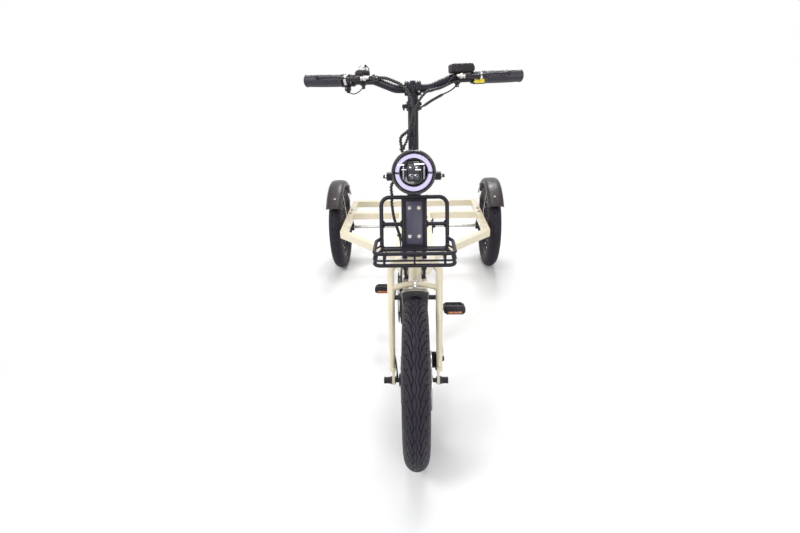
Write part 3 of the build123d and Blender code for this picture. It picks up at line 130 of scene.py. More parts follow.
class Kit:
    """Collects shapes into one mesh."""

    def __init__(self, *mats):
        self.mats = mats
        self.verts = []
        self.faces = []
        self.marks = []

    def add(self, verts, faces, mat=None, where=None):
        base = len(self.verts)
        self.verts += [tuple(where @ Vector(v)) if where else tuple(v) for v in verts]
        self.faces += [tuple(base + i for i in f) for f in faces]
        self.marks += [self.mats.index(mat) if mat else 0] * len(faces)

    def lathe(self, profile, where, mat=None, seg=32, closed=False, arc=2 * pi):
        """Turn (radius, height) points about the Z of where."""
        full = abs(arc - 2 * pi) < 1e-6
        columns = seg if full else seg + 1
        verts = []
        for i in range(columns):
            a = arc * i / seg
            verts += [(r * cos(a), r * sin(a), h) for r, h in profile]
        n = len(profile)
        faces = []
        for i in range(seg):
            j = (i + 1) % columns
            for k in range(n if closed else n - 1):
                m = (k + 1) % n
                faces.append((i * n + k, j * n + k, j * n + m, i * n + m))
        faces = [self.cleaned(f, verts) for f in faces]
        self.add(verts, [f for f in faces if f], mat, where)

    @staticmethod
    def cleaned(face, verts):
        """A face without the corners that fall together, or None if too few are left."""
        kept = []
        for i in face:
            if not any((Vector(verts[i]) - Vector(verts[j])).length < 1e-7 for j in kept):
                kept.append(i)
        return tuple(kept) if len(kept) > 2 else None

    def tube(self, points, radius, mat=None, seg=10, closed=False, caps=True, flat=1.0, up=None,
            spiral=None):
        """Sweep a circle, or an ellipse flattened along up, or a spiral wrap, along points."""
        points = [Vector(p) for p in points]
        count = len(points)
        radii = radius if isinstance(radius, (list, tuple)) else [radius] * count
        tangents = []
        for i in range(count):
            if closed:
                t = points[(i + 1) % count] - points[i - 1]
            else:
                t = points[min(i + 1, count - 1)] - points[max(i - 1, 0)]
            tangents.append(t.normalized())
        normal = None
        run = 0.0
        verts = []
        for i, (p, t) in enumerate(zip(points, tangents)):
            run += (p - points[i - 1]).length if i else 0.0
            if up is not None:
                normal = Vector(up) - t * t.dot(Vector(up))
            elif normal is None:
                hint = Z if abs(t.z) < 0.9 else X
                normal = hint - t * t.dot(hint)
            else:
                normal = normal - t * t.dot(normal)
            normal.normalize()
            side = t.cross(normal)
            for k in range(seg):
                a = 2 * pi * k / seg
                size = radii[i]
                if spiral:
                    pitch, deep = spiral
                    size -= deep * abs(cos(pi * run / pitch - a / 2)) ** 4
                verts.append(p + size * (side * cos(a) + normal * sin(a) * flat))
        faces = []
        for i in range(count if closed else count - 1):
            j = (i + 1) % count
            for k in range(seg):
                m = (k + 1) % seg
                faces.append((i * seg + k, j * seg + k, j * seg + m, i * seg + m))
        if caps and not closed:
            faces.append(tuple(range(seg)))
            faces.append(tuple((count - 1) * seg + k for k in reversed(range(seg))))
        self.add(verts, faces, mat)

    def mesh(self, bm, mat=None, where=None):
        """Take in a bmesh, which is freed."""
        bmesh.ops.recalc_face_normals(bm, faces=bm.faces)
        bm.verts.index_update()
        self.add([v.co for v in bm.verts], [[v.index for v in f.verts] for f in bm.faces], mat,
            where)
        bm.free()

    def block(self, size, where, mat=None, bevel=0.0015, steps=2):
        """A box with rounded edges, centred on where."""
        bm = bmesh.new()
        bmesh.ops.create_cube(bm, size=1.0)
        for v in bm.verts:
            v.co = Vector((v.co.x * size[0], v.co.y * size[1], v.co.z * size[2]))
        bevel = min(bevel, min(size) * 0.45)
        bmesh.ops.bevel(bm, geom=bm.edges[:], offset=bevel, segments=steps, affect="EDGES",
            profile=0.5)
        self.mesh(bm, mat, where)

    def prism(self, outline, thickness, where, mat=None, bevel=0.0):
        """A plate with an outline in X and Y, from 0 up to its thickness."""
        bm = bmesh.new()
        low = [bm.verts.new((x, y, 0)) for x, y in outline]
        face = bm.faces.new(low)
        grown = bmesh.ops.extrude_face_region(bm, geom=[face])
        top = [v for v in grown["geom"] if isinstance(v, bmesh.types.BMVert)]
        bmesh.ops.translate(bm, vec=(0, 0, thickness), verts=top)
        if bevel:
            flat = [e for e in bm.edges if abs(e.verts[0].co.z - e.verts[1].co.z) < 1e-9]
            bmesh.ops.bevel(bm, geom=flat, offset=bevel, segments=2, affect="EDGES", profile=0.5)
        self.mesh(bm, mat, where)

    def bolt(self, where, radius, height, mat=None, dark=None, washer=0.0, sides=6):
        """A screw head with a rounded rim and a socket, on a washer; a dark finish, when given,
        lines the socket as painted shade in its recess and also covers the washer.
        """
        base = 0.0
        if washer:
            self.lathe([(radius * 0.5, 0), (radius * washer, 0), (radius * washer, 0.0008),
                (radius * 0.5, 0.0009)], where, mat if dark is None else dark, 24)
            base = 0.0008
        top = base + height
        self.lathe([(radius, base), (radius, top - height * 0.3), (radius * 0.86, top),
            (radius * 0.52, top)], where, mat, 24)
        # The socket in the dark finish: painted shade in the recess.
        self.lathe([(radius * 0.52, top), (radius * 0.48, top - height * 0.6),
            (0, top - height * 0.6)], where, mat if dark is None else dark, sides)

    def nut(self, where, radius, height, mat=None):
        """A six-sided nut with a chamfered top."""
        self.prism([(radius * cos(a), radius * sin(a)) for a in turns(6)], height, where, mat,
            bevel=height * 0.12)

    def build(self, name, body, angle=35, swaps=()):
        """Make the object, put it on its body and hide the nodes it stands for."""
        data = bpy.data.meshes.new(name)
        data.from_pydata(self.verts, [], self.faces)
        for mat in self.mats:
            data.materials.append(mat)
        data.polygons.foreach_set("material_index", self.marks)
        data.validate()
        bm = bmesh.new()
        bm.from_mesh(data)
        bmesh.ops.remove_doubles(bm, verts=bm.verts, dist=1e-7)
        bmesh.ops.recalc_face_normals(bm, faces=bm.faces)
        bm.to_mesh(data)
        bm.free()
        data.shade_smooth()
        data.set_sharp_from_angle(angle=radians(angle))
        piece = bpy.data.objects.new(name, data)
        bpy.context.scene.collection.objects.link(piece)
        if body:
            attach(piece, body)
        if swaps:
            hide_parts(*swaps)
        return piece

# ---- Materials ----
def surface(name, colour, rough=0.5, metal=0.0, coat=0.0, coat_rough=0.1, speck=0.08,
        speck_scale=60.0, bump=0.1, bump_scale=900.0, rough_spread=0.1, sheen=0.0, grime=0.0,
        grime_colour=(0.05, 0.042, 0.038), spec=0.5, stretch=None):
    """A layered surface: broad colour drift, fine grain, uneven gloss and a little grime."""
    mat = bpy.data.materials.new(name)
    mat.use_nodes = True
    tree = mat.node_tree
    shader = tree.nodes["Principled BSDF"]
    shader.inputs["Metallic"].default_value = metal
    shader.inputs["Coat Weight"].default_value = coat
    shader.inputs["Coat Roughness"].default_value = coat_rough
    shader.inputs["Sheen Weight"].default_value = sheen
    shader.inputs["Specular IOR Level"].default_value = spec
    place = tree.nodes.new("ShaderNodeTexCoord")
    coords = place.outputs["Object"]
    if stretch:
        pull = tree.nodes.new("ShaderNodeMapping")
        pull.inputs["Scale"].default_value = stretch
        tree.links.new(coords, pull.inputs["Vector"])
        coords = pull.outputs["Vector"]

    def noise(scale, detail=4.0):
        node = tree.nodes.new("ShaderNodeTexNoise")
        node.inputs["Scale"].default_value = scale
        node.inputs["Detail"].default_value = detail
        tree.links.new(coords, node.inputs["Vector"])
        return node.outputs["Fac"]

    def mapped(value, low, high, from_low=0.3, from_high=0.7):
        node = tree.nodes.new("ShaderNodeMapRange")
        for key, number in (("From Min", from_low), ("From Max", from_high), ("To Min", low),
                ("To Max", high)):
            node.inputs[key].default_value = number
        tree.links.new(value, node.inputs["Value"])
        return node.outputs["Result"]

    def mixed(factor, first, second):
        node = tree.nodes.new("ShaderNodeMix")
        node.data_type = "RGBA"
        tree.links.new(factor, node.inputs["Factor"])
        for socket, value in ((node.inputs["A"], first), (node.inputs["B"], second)):
            if isinstance(value, tuple):
                socket.default_value = (*value, 1)
            else:
                tree.links.new(value, socket)
        return node.outputs["Result"]

    dark = tuple(c * (1 - speck) for c in colour)
    light = tuple(min(1.0, c * (1 + speck)) for c in colour)
    tone = mixed(mapped(noise(speck_scale), 0, 1), dark, light)
    if grime:
        patch = mapped(noise(9.0, 8.0), 0, grime, 0.48, 0.75)
        tone = mixed(patch, tone, grime_colour)
    tree.links.new(tone, shader.inputs["Base Color"])
    gloss = mapped(noise(35.0, 6.0), max(0.02, rough - rough_spread), rough + rough_spread)
    tree.links.new(gloss, shader.inputs["Roughness"])
    lift = tree.nodes.new("ShaderNodeBump")
    lift.inputs["Strength"].default_value = bump
    lift.inputs["Distance"].default_value = 0.0004
    tree.links.new(noise(bump_scale, 2.0), lift.inputs["Height"])
    tree.links.new(lift.outputs["Normal"], shader.inputs["Normal"])
    return mat


ivory = surface("ivory_paint", (0.77, 0.69, 0.515), 0.34, coat=0.5, coat_rough=0.12, speck=0.025,
    speck_scale=14, bump=0.05, bump_scale=420, grime=0.05, grime_colour=(0.42, 0.36, 0.26))
satin = surface("satin_black_paint", (0.0125, 0.01, 0.0185), 0.38, speck=0.18, speck_scale=120,
    bump=0.22, bump_scale=1300, rough_spread=0.07, grime=0.04, grime_colour=(0.05, 0.045, 0.045),
    spec=0.26)
gloss_black = surface("gloss_black", (0.009, 0.008, 0.011), 0.16, coat=0.6, coat_rough=0.04,
    speck=0.1, bump=0.03, bump_scale=300, rough_spread=0.05)
plastic = surface("moulded_plastic", (0.017, 0.0135, 0.0175), 0.45, speck=0.12, speck_scale=200,
    bump=0.3, bump_scale=1700, rough_spread=0.08, grime=0.06, grime_colour=(0.06, 0.055, 0.05),
    spec=0.28)
fender_plastic = surface("fender_plastic", (0.02, 0.014, 0.017), 0.36, speck=0.1, speck_scale=40,
    bump=0.25, bump_scale=1500, grime=0.08, grime_colour=(0.07, 0.06, 0.055), spec=0.4)
rubber = surface("tyre_rubber", (0.0155, 0.0125, 0.0205), 0.6, speck=0.14, speck_scale=160,
    bump=0.35, bump_scale=1100, rough_spread=0.08, grime=0.1, grime_colour=(0.045, 0.04, 0.045),
    spec=0.3)
wall_rubber = surface("sidewall_rubber", (0.03, 0.025, 0.029), 0.66, speck=0.12, speck_scale=90,
    bump=0.25, bump_scale=900, grime=0.12, grime_colour=(0.06, 0.05, 0.05), spec=0.22)
grip_rubber = surface("grip_rubber", (0.017, 0.013, 0.024), 0.4, speck=0.12, bump=0.3,
    bump_scale=1600, sheen=0.1)
sheath = surface("cable_sheath", (0.012, 0.011, 0.014), 0.38, speck=0.12, bump=0.15,
    bump_scale=700)
wrap_sheath = surface("spiral_wrap", (0.01, 0.009, 0.012), 0.33, speck=0.15, bump=0.15,
    bump_scale=900)
zinc = surface("zinc_steel", (0.56, 0.55, 0.53), 0.3, metal=1.0, speck=0.1, speck_scale=90,
    bump=0.12, bump_scale=1200, grime=0.1, grime_colour=(0.2, 0.17, 0.15))
bright = surface("polished_steel", (0.78, 0.77, 0.75), 0.14, metal=1.0, speck=0.04, bump=0.05,
    bump_scale=600, rough_spread=0.06)
brushed = surface("brushed_steel", (0.6, 0.59, 0.58), 0.3, metal=1.0, speck=0.12, speck_scale=300,
    bump=0.25, bump_scale=500, stretch=(8, 1, 1))
dark_steel = surface("dark_steel", (0.1, 0.095, 0.095), 0.4, metal=0.9, speck=0.25,
    speck_scale=150, bump=0.2, bump_scale=900, grime=0.15)
leather = surface("saddle_cover", (0.014, 0.013, 0.015), 0.52, speck=0.15, speck_scale=260,
    bump=0.6, bump_scale=650, sheen=0.12)
amber = surface("amber_reflector", (0.42, 0.115, 0.022), 0.18, coat=0.7, coat_rough=0.05,
    speck=0.2, speck_scale=300, bump=0.5, bump_scale=450)
yellow = surface("yellow_plastic", (0.86, 0.72, 0.055), 0.34, coat=0.2, speck=0.05, bump=0.15,
    bump_scale=900)
warm_grey = surface("painted_fender", (0.3, 0.28, 0.25), 0.38, metal=0.3, coat=0.3, speck=0.08,
    bump=0.12, bump_scale=700, grime=0.1)

spoke_steel = surface("black_spokes", (0.035, 0.032, 0.036), 0.32, metal=0.6, speck=0.15,
    speck_scale=200, bump=0.1, bump_scale=700)

# ---- Camera, at the photograph's viewing angle ----
camera_place = Vector((0.0017, -1.6338, 1.0114))
pitch, yaw, roll = (radians(a) for a in (24.22, -2.156, 1.518))
forward = Vector((sin(yaw) * cos(pitch), cos(yaw) * cos(pitch), -sin(pitch)))
level = Vector((cos(yaw), -sin(yaw), 0))
down = forward.cross(level)
across = level * cos(roll) + down * sin(roll)
below = down * cos(roll) - level * sin(roll)
lens = bpy.data.cameras.new("camera")
lens.sensor_width = 36
lens.lens = 20.21
camera = bpy.data.objects.new("camera", lens)
camera.matrix_world = (Matrix.Translation(camera_place) @
    Matrix((across, -below, -forward)).transposed().to_4x4())
bpy.context.scene.collection.objects.link(camera)
bpy.context.scene.camera = camera

# ---- Floor, world and lamps ----
bpy.context.scene.view_settings.view_transform = "Standard"


def maximum(tree, first, second):
    """The larger of two values."""
    node = tree.nodes.new("ShaderNodeMath")
    node.operation = "MAXIMUM"
    tree.links.new(first, node.inputs[0])
    tree.links.new(second, node.inputs[1])
    return node.outputs[0]


def mixed_shader(tree, factor, first, second):
    node = tree.nodes.new("ShaderNodeMixShader")
    for socket, source in zip(node.inputs, (factor, first, second)):
        tree.links.new(source, socket)
    return node.outputs[0]


# The world lights the object softly; the camera and reflections see plain white.
world = bpy.data.worlds.new("studio")
bpy.context.scene.world = world
world.use_nodes = True
sky = world.node_tree
fill = sky.nodes["Background"]
fill.inputs["Color"].default_value = (0.97, 0.98, 1.0, 1)
fill.inputs["Strength"].default_value = 0.42
white = sky.nodes.new("ShaderNodeBackground")
white.inputs["Color"].default_value = (1, 1, 1, 1)
path = sky.nodes.new("ShaderNodeLightPath")
seen = maximum(sky, path.outputs["Is Camera Ray"], path.outputs["Is Glossy Ray"])
seen = maximum(sky, seen, path.outputs["Is Transmission Ray"])
sky.links.new(mixed_shader(sky, seen, fill.outputs[0], white.outputs[0]),
    sky.nodes["World Output"].inputs["Surface"])

# The floor holds the shadow near the object and fades to plain white round it.
floor_mesh = bpy.data.meshes.new("floor")
floor_mesh.from_pydata([(-14, -10, 0), (14, -10, 0), (14, 22, 0), (-14, 22, 0)], [],
    [(0, 1, 2, 3)])
floor = bpy.data.objects.new("floor", floor_mesh)
bpy.context.scene.collection.objects.link(floor)
pale = bpy.data.materials.new("pale_floor")
pale.use_nodes = True
ground = pale.node_tree
paint = ground.nodes["Principled BSDF"]
paint.inputs["Base Color"].default_value = (0.93, 0.93, 0.93, 1)
paint.inputs["Roughness"].default_value = 0.9
paint.inputs["Specular IOR Level"].default_value = 0.1
bare = ground.nodes.new("ShaderNodeEmission")
bare.inputs["Color"].default_value = (1, 1, 1, 1)
place = ground.nodes.new("ShaderNodeNewGeometry")
reach = ground.nodes.new("ShaderNodeVectorMath")
reach.operation = "DISTANCE"
reach.inputs[1].default_value = (0, 0.05, 0)
ground.links.new(place.outputs["Position"], reach.inputs[0])
fade = ground.nodes.new("ShaderNodeMapRange")
fade.interpolation_type = "SMOOTHSTEP"
fade.inputs["From Min"].default_value = 1.0
fade.inputs["From Max"].default_value = 1.6
ground.links.new(reach.outputs["Value"], fade.inputs["Value"])
faded = mixed_shader(ground, fade.outputs["Result"], paint.outputs["BSDF"], bare.outputs[0])
path = ground.nodes.new("ShaderNodeLightPath")
seen = maximum(ground, path.outputs["Is Camera Ray"], path.outputs["Is Glossy Ray"])
ground.links.new(mixed_shader(ground, seen, paint.outputs["BSDF"], faded),
    ground.nodes["Material Output"].inputs["Surface"])
floor_mesh.materials.append(pale)


def lamp(name, place, aim, size, power):
    """A soft rectangular lamp at a place, aimed at a point."""
    light = bpy.data.lights.new(name, "AREA")
    light.shape = "RECTANGLE"
    light.size, light.size_y = size
    light.energy = power
    thing = bpy.data.objects.new(name, light)
    thing.matrix_world = at(place, Vector(place) - Vector(aim))
    bpy.context.scene.collection.objects.link(thing)


lamp("key", (-2.0, -2.2, 3.0), (0, -0.1, 0.4), (1.6, 1.2), 58)
lamp("front", (0.9, -3.4, 1.5), (0, -0.4, 0.5), (2.0, 1.2), 32)
lamp("top", (0.0, 0.3, 3.6), (0, 0.1, 0.3), (1.8, 1.8), 34)
lamp("left", (3.0, -0.4, 1.8), (0, 0, 0.4), (1.4, 1.8), 10)
lamp("right", (-3.0, 0.6, 1.6), (0, 0.2, 0.4), (1.4, 1.8), 16)
lamp("back", (0.3, 2.6, 3.4), (0, 0.2, 0.2), (1.5, 1.0), 76)

# ---- Wheels ----
def round_wheel(hub, angle=0.0):
    """A frame on a hub whose Z is the axle; angles run from the top towards the front."""
    return at(hub, X, (0, -sin(angle), cos(angle)))


def ramp(value, low, high):
    """A smooth step from 0 at low to 1 at high."""
    t = min(1.0, max(0.0, (value - low) / (high - low)))
    return t * t * (3 - 2 * t)


def path_gap(spot, path):
    """The distance from a point of the plane to a bent line."""
    best = 9.0
    for (ax, ay), (bx, by) in zip(path, path[1:]):
        dx, dy = bx - ax, by - ay
        t = ((spot[0] - ax) * dx + (spot[1] - ay) * dy) / (dx * dx + dy * dy)
        t = min(1.0, max(0.0, t))
        best = min(best, hypot(spot[0] - ax - t * dx, spot[1] - ay - t * dy))
    return best


main_groove = [(1.04, 0.0), (0.88, 0.0), (0.78, 0.06), (0.71, 0.24), (0.6, 0.4), (0.5, 0.52),
    (0.43, 0.72), (0.36, 0.96), (0.29, 1.2)]
short_groove = [(1.04, 0.5), (0.93, 0.5), (0.86, 0.56), (0.8, 0.72)]
spur_groove = [(0.71, 0.24), (0.64, 0.12), (0.55, 0.02)]


def tread_depth(turn, across, pitch, half):
    """How deep the tread is cut: turn counts repeats, across is -1 to 1 over the tread."""
    side = abs(across)
    spot = (side * half, turn * pitch)
    cut = 0.0
    for groove, wide in ((main_groove, 0.00115), (short_groove, 0.0009), (spur_groove, 0.0007)):
        for repeat in (-2, -1, 0, 1):
            path = [(s * half, (t + repeat) * pitch) for s, t in groove]
            cut = max(cut, 1 - ramp(path_gap(spot, path), wide * 0.4, wide * 1.15))
    wave = sin(2 * pi * turn)
    cut = max(cut, 0.8 * (1 - ramp(abs(side - 0.24 - 0.06 * wave) * half, 0.0004, 0.0011)))
    cut = max(cut, 0.6 * (1 - ramp(abs(across - 0.05 * wave) * half, 0.0003, 0.0009)))
    return cut


def tyre(name, body, hub, radius, width, seat, repeats, steps, columns, node):
    """A balloon tyre with a cut tread, ribbed shoulders, smooth walls and beads."""
    kit = Kit(rubber, wall_rubber)
    high = (radius - seat) * 0.58
    middle = radius - high
    crown = 1.02
    half = width / 2
    stops = [-1.0 + 2.0 * k / columns for k in range(columns + 1)]
    rest = acos(-(middle - seat) / high)
    walls = [crown + (rest - crown) * k / 9 for k in range(1, 10)]
    section = [(-w, None) for w in reversed(walls)] + [(s * crown, s) for s in stops]
    section += [(w, None) for w in walls]
    pitch = 2 * pi * radius / repeats
    around = repeats * steps
    rows = len(section)
    cuts = {(k, across): tread_depth(k / steps, across, pitch, half * 0.95) for k in range(steps)
        for across in stops}
    verts = []
    for i in range(around):
        a = 2 * pi * i / around
        for lean, across in section:
            if across is not None:
                deep = 0.0032 * cuts[i % steps, across] * (1 - 0.7 * ramp(abs(across), 0.9, 1.0))
            else:
                spot = (abs(lean) - crown) / (rest - crown)
                deep = 0.0007 * ramp(spot, 0.0, 0.06)
                deep -= 0.0006 * exp(-((spot - 0.42) / 0.05) ** 2)
            r = middle + (high - deep) * cos(lean)
            x = (half - deep) * sin(lean)
            verts.append((r * cos(a), r * sin(a), x))
    tread_faces = []
    wall_faces = []
    edge = len(walls)
    for i in range(around):
        j = (i + 1) % around
        for k in range(rows - 1):
            face = (i * rows + k, j * rows + k, j * rows + k + 1, i * rows + k + 1)
            (tread_faces if edge <= k < rows - 1 - edge else wall_faces).append(face)
    kit.add(verts, tread_faces, rubber, round_wheel(hub))
    kit.faces += wall_faces
    kit.marks += [kit.mats.index(wall_rubber)] * len(wall_faces)
    low = middle + high * cos(rest)
    wide = half * sin(rest)
    for side in (-1, 1):
        kit.lathe([(low, side * wide), (low - 0.0015, side * (wide - 0.001)),
            (low - 0.001, side * (wide - 0.006)), (low + 0.002, side * (wide - 0.008))],
            round_wheel(hub), wall_rubber, 96)
    kit.lathe([(low + 0.001, -wide + 0.006), (low + 0.001, wide - 0.006)], round_wheel(hub),
        wall_rubber, 96)
    kit.build(name, body, 50, (node,))


rim_seat = 0.158
tyre("tyre_front", "front_wheel", front_hub, radius=0.228, width=0.069, seat=rim_seat, repeats=40,
    steps=30, columns=72, node="front_tyre")
for side, body, hub in (("left", "rear_wheel_left", left_hub), ("right", "rear_axle", right_hub)):
    tyre("tyre_" + side, body, hub, radius=0.218, width=0.066, seat=rim_seat, repeats=38, steps=22,
        columns=48, node="rear_tyre_" + side)


def rim(kit, hub, width, hub_radius, hub_half, count=36):
    """A rolled rim with its spokes, nipples, elbows and valve."""
    where = round_wheel(hub)
    outer = rim_seat - 0.0002
    half = width / 2
    kit.lathe([(outer - 0.001, -half + 0.002), (outer, -half + 0.001), (outer - 0.0015, -half),
        (outer - 0.011, -half + 0.0005), (outer - 0.015, -half + 0.004),
        (outer - 0.0195, -half * 0.42), (outer - 0.02, 0), (outer - 0.0195, half * 0.42),
        (outer - 0.015, half - 0.004), (outer - 0.011, half - 0.0005), (outer - 0.0015, half),
        (outer, half - 0.001), (outer - 0.001, half - 0.002), (outer - 0.006, half - 0.0035),
        (outer - 0.0075, half * 0.4), (outer - 0.0075, -half * 0.4),
        (outer - 0.006, -half + 0.0035)], where, satin, 128, closed=True)
    floor_r = outer - 0.0198
    for index in range(count):
        side = 1 if index % 2 else -1
        angle = 2 * pi * index / count
        lean = angle + (0.42 if index % 4 < 2 else -0.42)
        start = polar(hub_radius, lean, side * hub_half)
        end = polar(floor_r, angle, side * width * 0.1)
        line = (start - end).normalized()
        path = [start + Vector((0, 0, -side * 0.004)), start + Vector((0, 0, -side * 0.001)), start
            - line * 0.003, end + line * 0.012, end - line * 0.001]
        kit.tube([where @ p for p in path], [0.0012, 0.0012, 0.001, 0.001, 0.001], spoke_steel, 6)
        kit.tube([where @ p for p in (end - line * 0.001, end + line * 0.004, end + line * 0.0125,
            end + line * 0.013)], [0.0026, 0.0022, 0.0019, 0.0014], zinc, 6)
    root = polar(floor_r, pi / count)
    inward = -root.normalized()
    stem_path = [where @ (root + inward * d) for d in (-0.002, 0.014, 0.0145, 0.022, 0.0225, 0.03,
        0.031)]
    kit.tube(stem_path, [0.0038, 0.0034, 0.0026, 0.0026, 0.0034, 0.0034, 0.0022], spoke_steel, 12)


def perforated(kit, radii, around, keep, thickness, where, mat):
    """A flat ring of cells; those that keep refuses are open."""
    rows = len(radii)
    verts = []
    for low in (0.0, thickness):
        for i in range(around):
            a = 2 * pi * i / around
            verts += [(r * cos(a), r * sin(a), low) for r in radii]
    layer = around * rows
    kept = {(i, k) for i in range(around) for k in range(rows - 1) if keep((i + 0.5) / around,
        (radii[k] + radii[k + 1]) / 2)}
    faces = []
    for i, k in kept:
        j = (i + 1) % around
        ring = (i * rows + k, j * rows + k, j * rows + k + 1, i * rows + k + 1)
        faces.append(tuple(v + layer for v in ring))
        faces.append(tuple(reversed(ring)))
        for near, (p, q) in (((i, k - 1), (0, 1)), ((i, k + 1), (2, 3)),
                (((i - 1) % around, k), (3, 0)), (((i + 1) % around, k), (1, 2))):
            if near not in kept:
                faces.append((ring[p], ring[q], ring[q] + layer, ring[p] + layer))
    kit.add(verts, faces, mat, where)

# ---- Front wheel: rim, hub motor and brake disc ----

kit = Kit(satin, zinc, spoke_steel)
rim(kit, front_hub, width=0.046, hub_radius=0.0765, hub_half=0.021)
kit.build("rim_front", "front_wheel", 35, ("front_rim",))

kit = Kit(satin, zinc, dark_steel)
where = round_wheel(front_hub)
kit.lathe([(0.0065, -0.046), (0.015, -0.046), (0.018, -0.0445), (0.018, -0.041), (0.03, -0.0398),
    (0.031, -0.0388), (0.058, -0.0385), (0.0595, -0.0398), (0.066, -0.0398), (0.07, -0.0375),
    (0.0725, -0.0335), (0.0728, -0.026), (0.075, -0.0255), (0.0785, -0.025), (0.0785, -0.0215),
    (0.075, -0.0205), (0.0735, -0.0195), (0.0735, 0.0145), (0.075, 0.0155), (0.0785, 0.0165),
    (0.0785, 0.02), (0.075, 0.021), (0.0728, 0.022), (0.0722, 0.025), (0.07, 0.0285),
    (0.066, 0.03), (0.048, 0.03), (0.0465, 0.0288), (0.032, 0.0288), (0.03, 0.03), (0.024, 0.0305),
    (0.0235, 0.0385), (0.0065, 0.0385)], where, satin, 96)
for a in turns(24, 0.5):
    rib = [where @ polar(0.0742, a, h) for h in (-0.0185, -0.012, 0.006, 0.0135)]
    kit.tube(rib, [0.0006, 0.0014, 0.0014, 0.0006], satin, 6)
for a in turns(8, 0.5):
    spot = polar(0.0625, a, -0.0397)
    kit.bolt(where @ Matrix.Translation(spot) @ turned((0, 0, -1)), 0.0032, 0.0016, zinc,
        dark_steel)
    spot = polar(0.0575, a, 0.0299)
    kit.bolt(where @ Matrix.Translation(spot) @ turned((0, 0, 1)), 0.003, 0.0014, zinc, dark_steel)
kit.build("motor_shell", "front_wheel", 30, ("hub_motor",))

kit = Kit(brushed, zinc, dark_steel)
disc_side = shift(0.04, 0, 0) @ round_wheel(front_hub)


def disc_keep(turn, r):
    """Whether the brake disc has metal at a turn and radius: hub, six arms and a slotted rim."""
    if r > 0.0655:
        slot = (turn * 36 + (r - 0.0655) * 90) % 1.0
        return not (0.3 < slot < 0.62 and 0.0685 < r < 0.0765)
    if r < 0.0295:
        return True
    arm = (turn * 6 + (r - 0.0295) * 9) % 1.0
    return arm < 0.36


perforated(kit, [0.0062, 0.022, 0.0235, 0.0265, 0.0295] +
    [0.0295 + 0.004 * k for k in range(1, 10)] + [0.0685, 0.0705, 0.0725, 0.0745, 0.0765, 0.0785,
    0.0799], 288, disc_keep, 0.002, disc_side, brushed)
for a in turns(6, 0.25):
    spot = polar(0.0225, a, 0.002)
    kit.bolt(disc_side @ Matrix.Translation(spot), 0.0044, 0.0022, zinc, dark_steel)
kit.lathe([(0.0062, 0.002), (0.014, 0.002), (0.015, 0.003), (0.015, 0.0042), (0.0125, 0.0055),
    (0.0062, 0.0055)], disc_side, zinc, 32)
kit.build("brake_disc", "front_wheel", 35, ("front_brake_disc",))

# ---- Rear wheels ----
for side, hub, body, word in ((1, left_hub, "rear_wheel_left", "left"),
        (-1, right_hub, "rear_axle", "right")):
    kit = Kit(satin, zinc, spoke_steel, dark_steel)
    rim(kit, hub, width=0.04, hub_radius=0.024, hub_half=0.0225)
    where = round_wheel(hub)
    kit.lathe([(0.0087, -0.026), (0.015, -0.026), (0.0165, -0.025), (0.0165, -0.024),
        (0.0255, -0.0238), (0.027, -0.023), (0.027, -0.022), (0.0255, -0.0212), (0.02, -0.0205),
        (0.0185, -0.016), (0.018, 0), (0.0185, 0.016), (0.02, 0.0205), (0.0255, 0.0212),
        (0.027, 0.022), (0.027, 0.023), (0.0255, 0.0238), (0.0165, 0.024), (0.0165, 0.025),
        (0.015, 0.026), (0.0087, 0.026)], where, satin, 48)
    for end in (-1, 1):
        kit.lathe([(0.0087, end * 0.0262), (0.0135, end * 0.0262), (0.014, end * 0.0252)], where,
            dark_steel, 32)
    kit.build("wheel_" + word, body, 35, ("rear_wheel_" + word,))

# ---- Fork, front axle, fender and caliper ----
def weld(kit, centre, axis, radius, mat=None, size=0.0013):
    """A rippled weld bead round a tube."""
    where = at(centre, axis)
    count = max(24, int(2 * pi * radius / 0.0009))
    ring = [where @ polar(radius, a) for a in turns(count)]
    kit.tube(ring, [size * (1.15 if k % 3 else 0.7) for k in range(count)], mat, 6, closed=True)


def bead(kit, start, end, mat=None, size=0.0013):
    """A straight rippled weld bead."""
    start, end = Vector(start), Vector(end)
    count = max(4, int((end - start).length / 0.001))
    line = [start + (end - start) * (k / count) for k in range(count + 1)]
    kit.tube(line, [size * (1.15 if k % 3 else 0.75) for k in range(count + 1)], mat, 6)


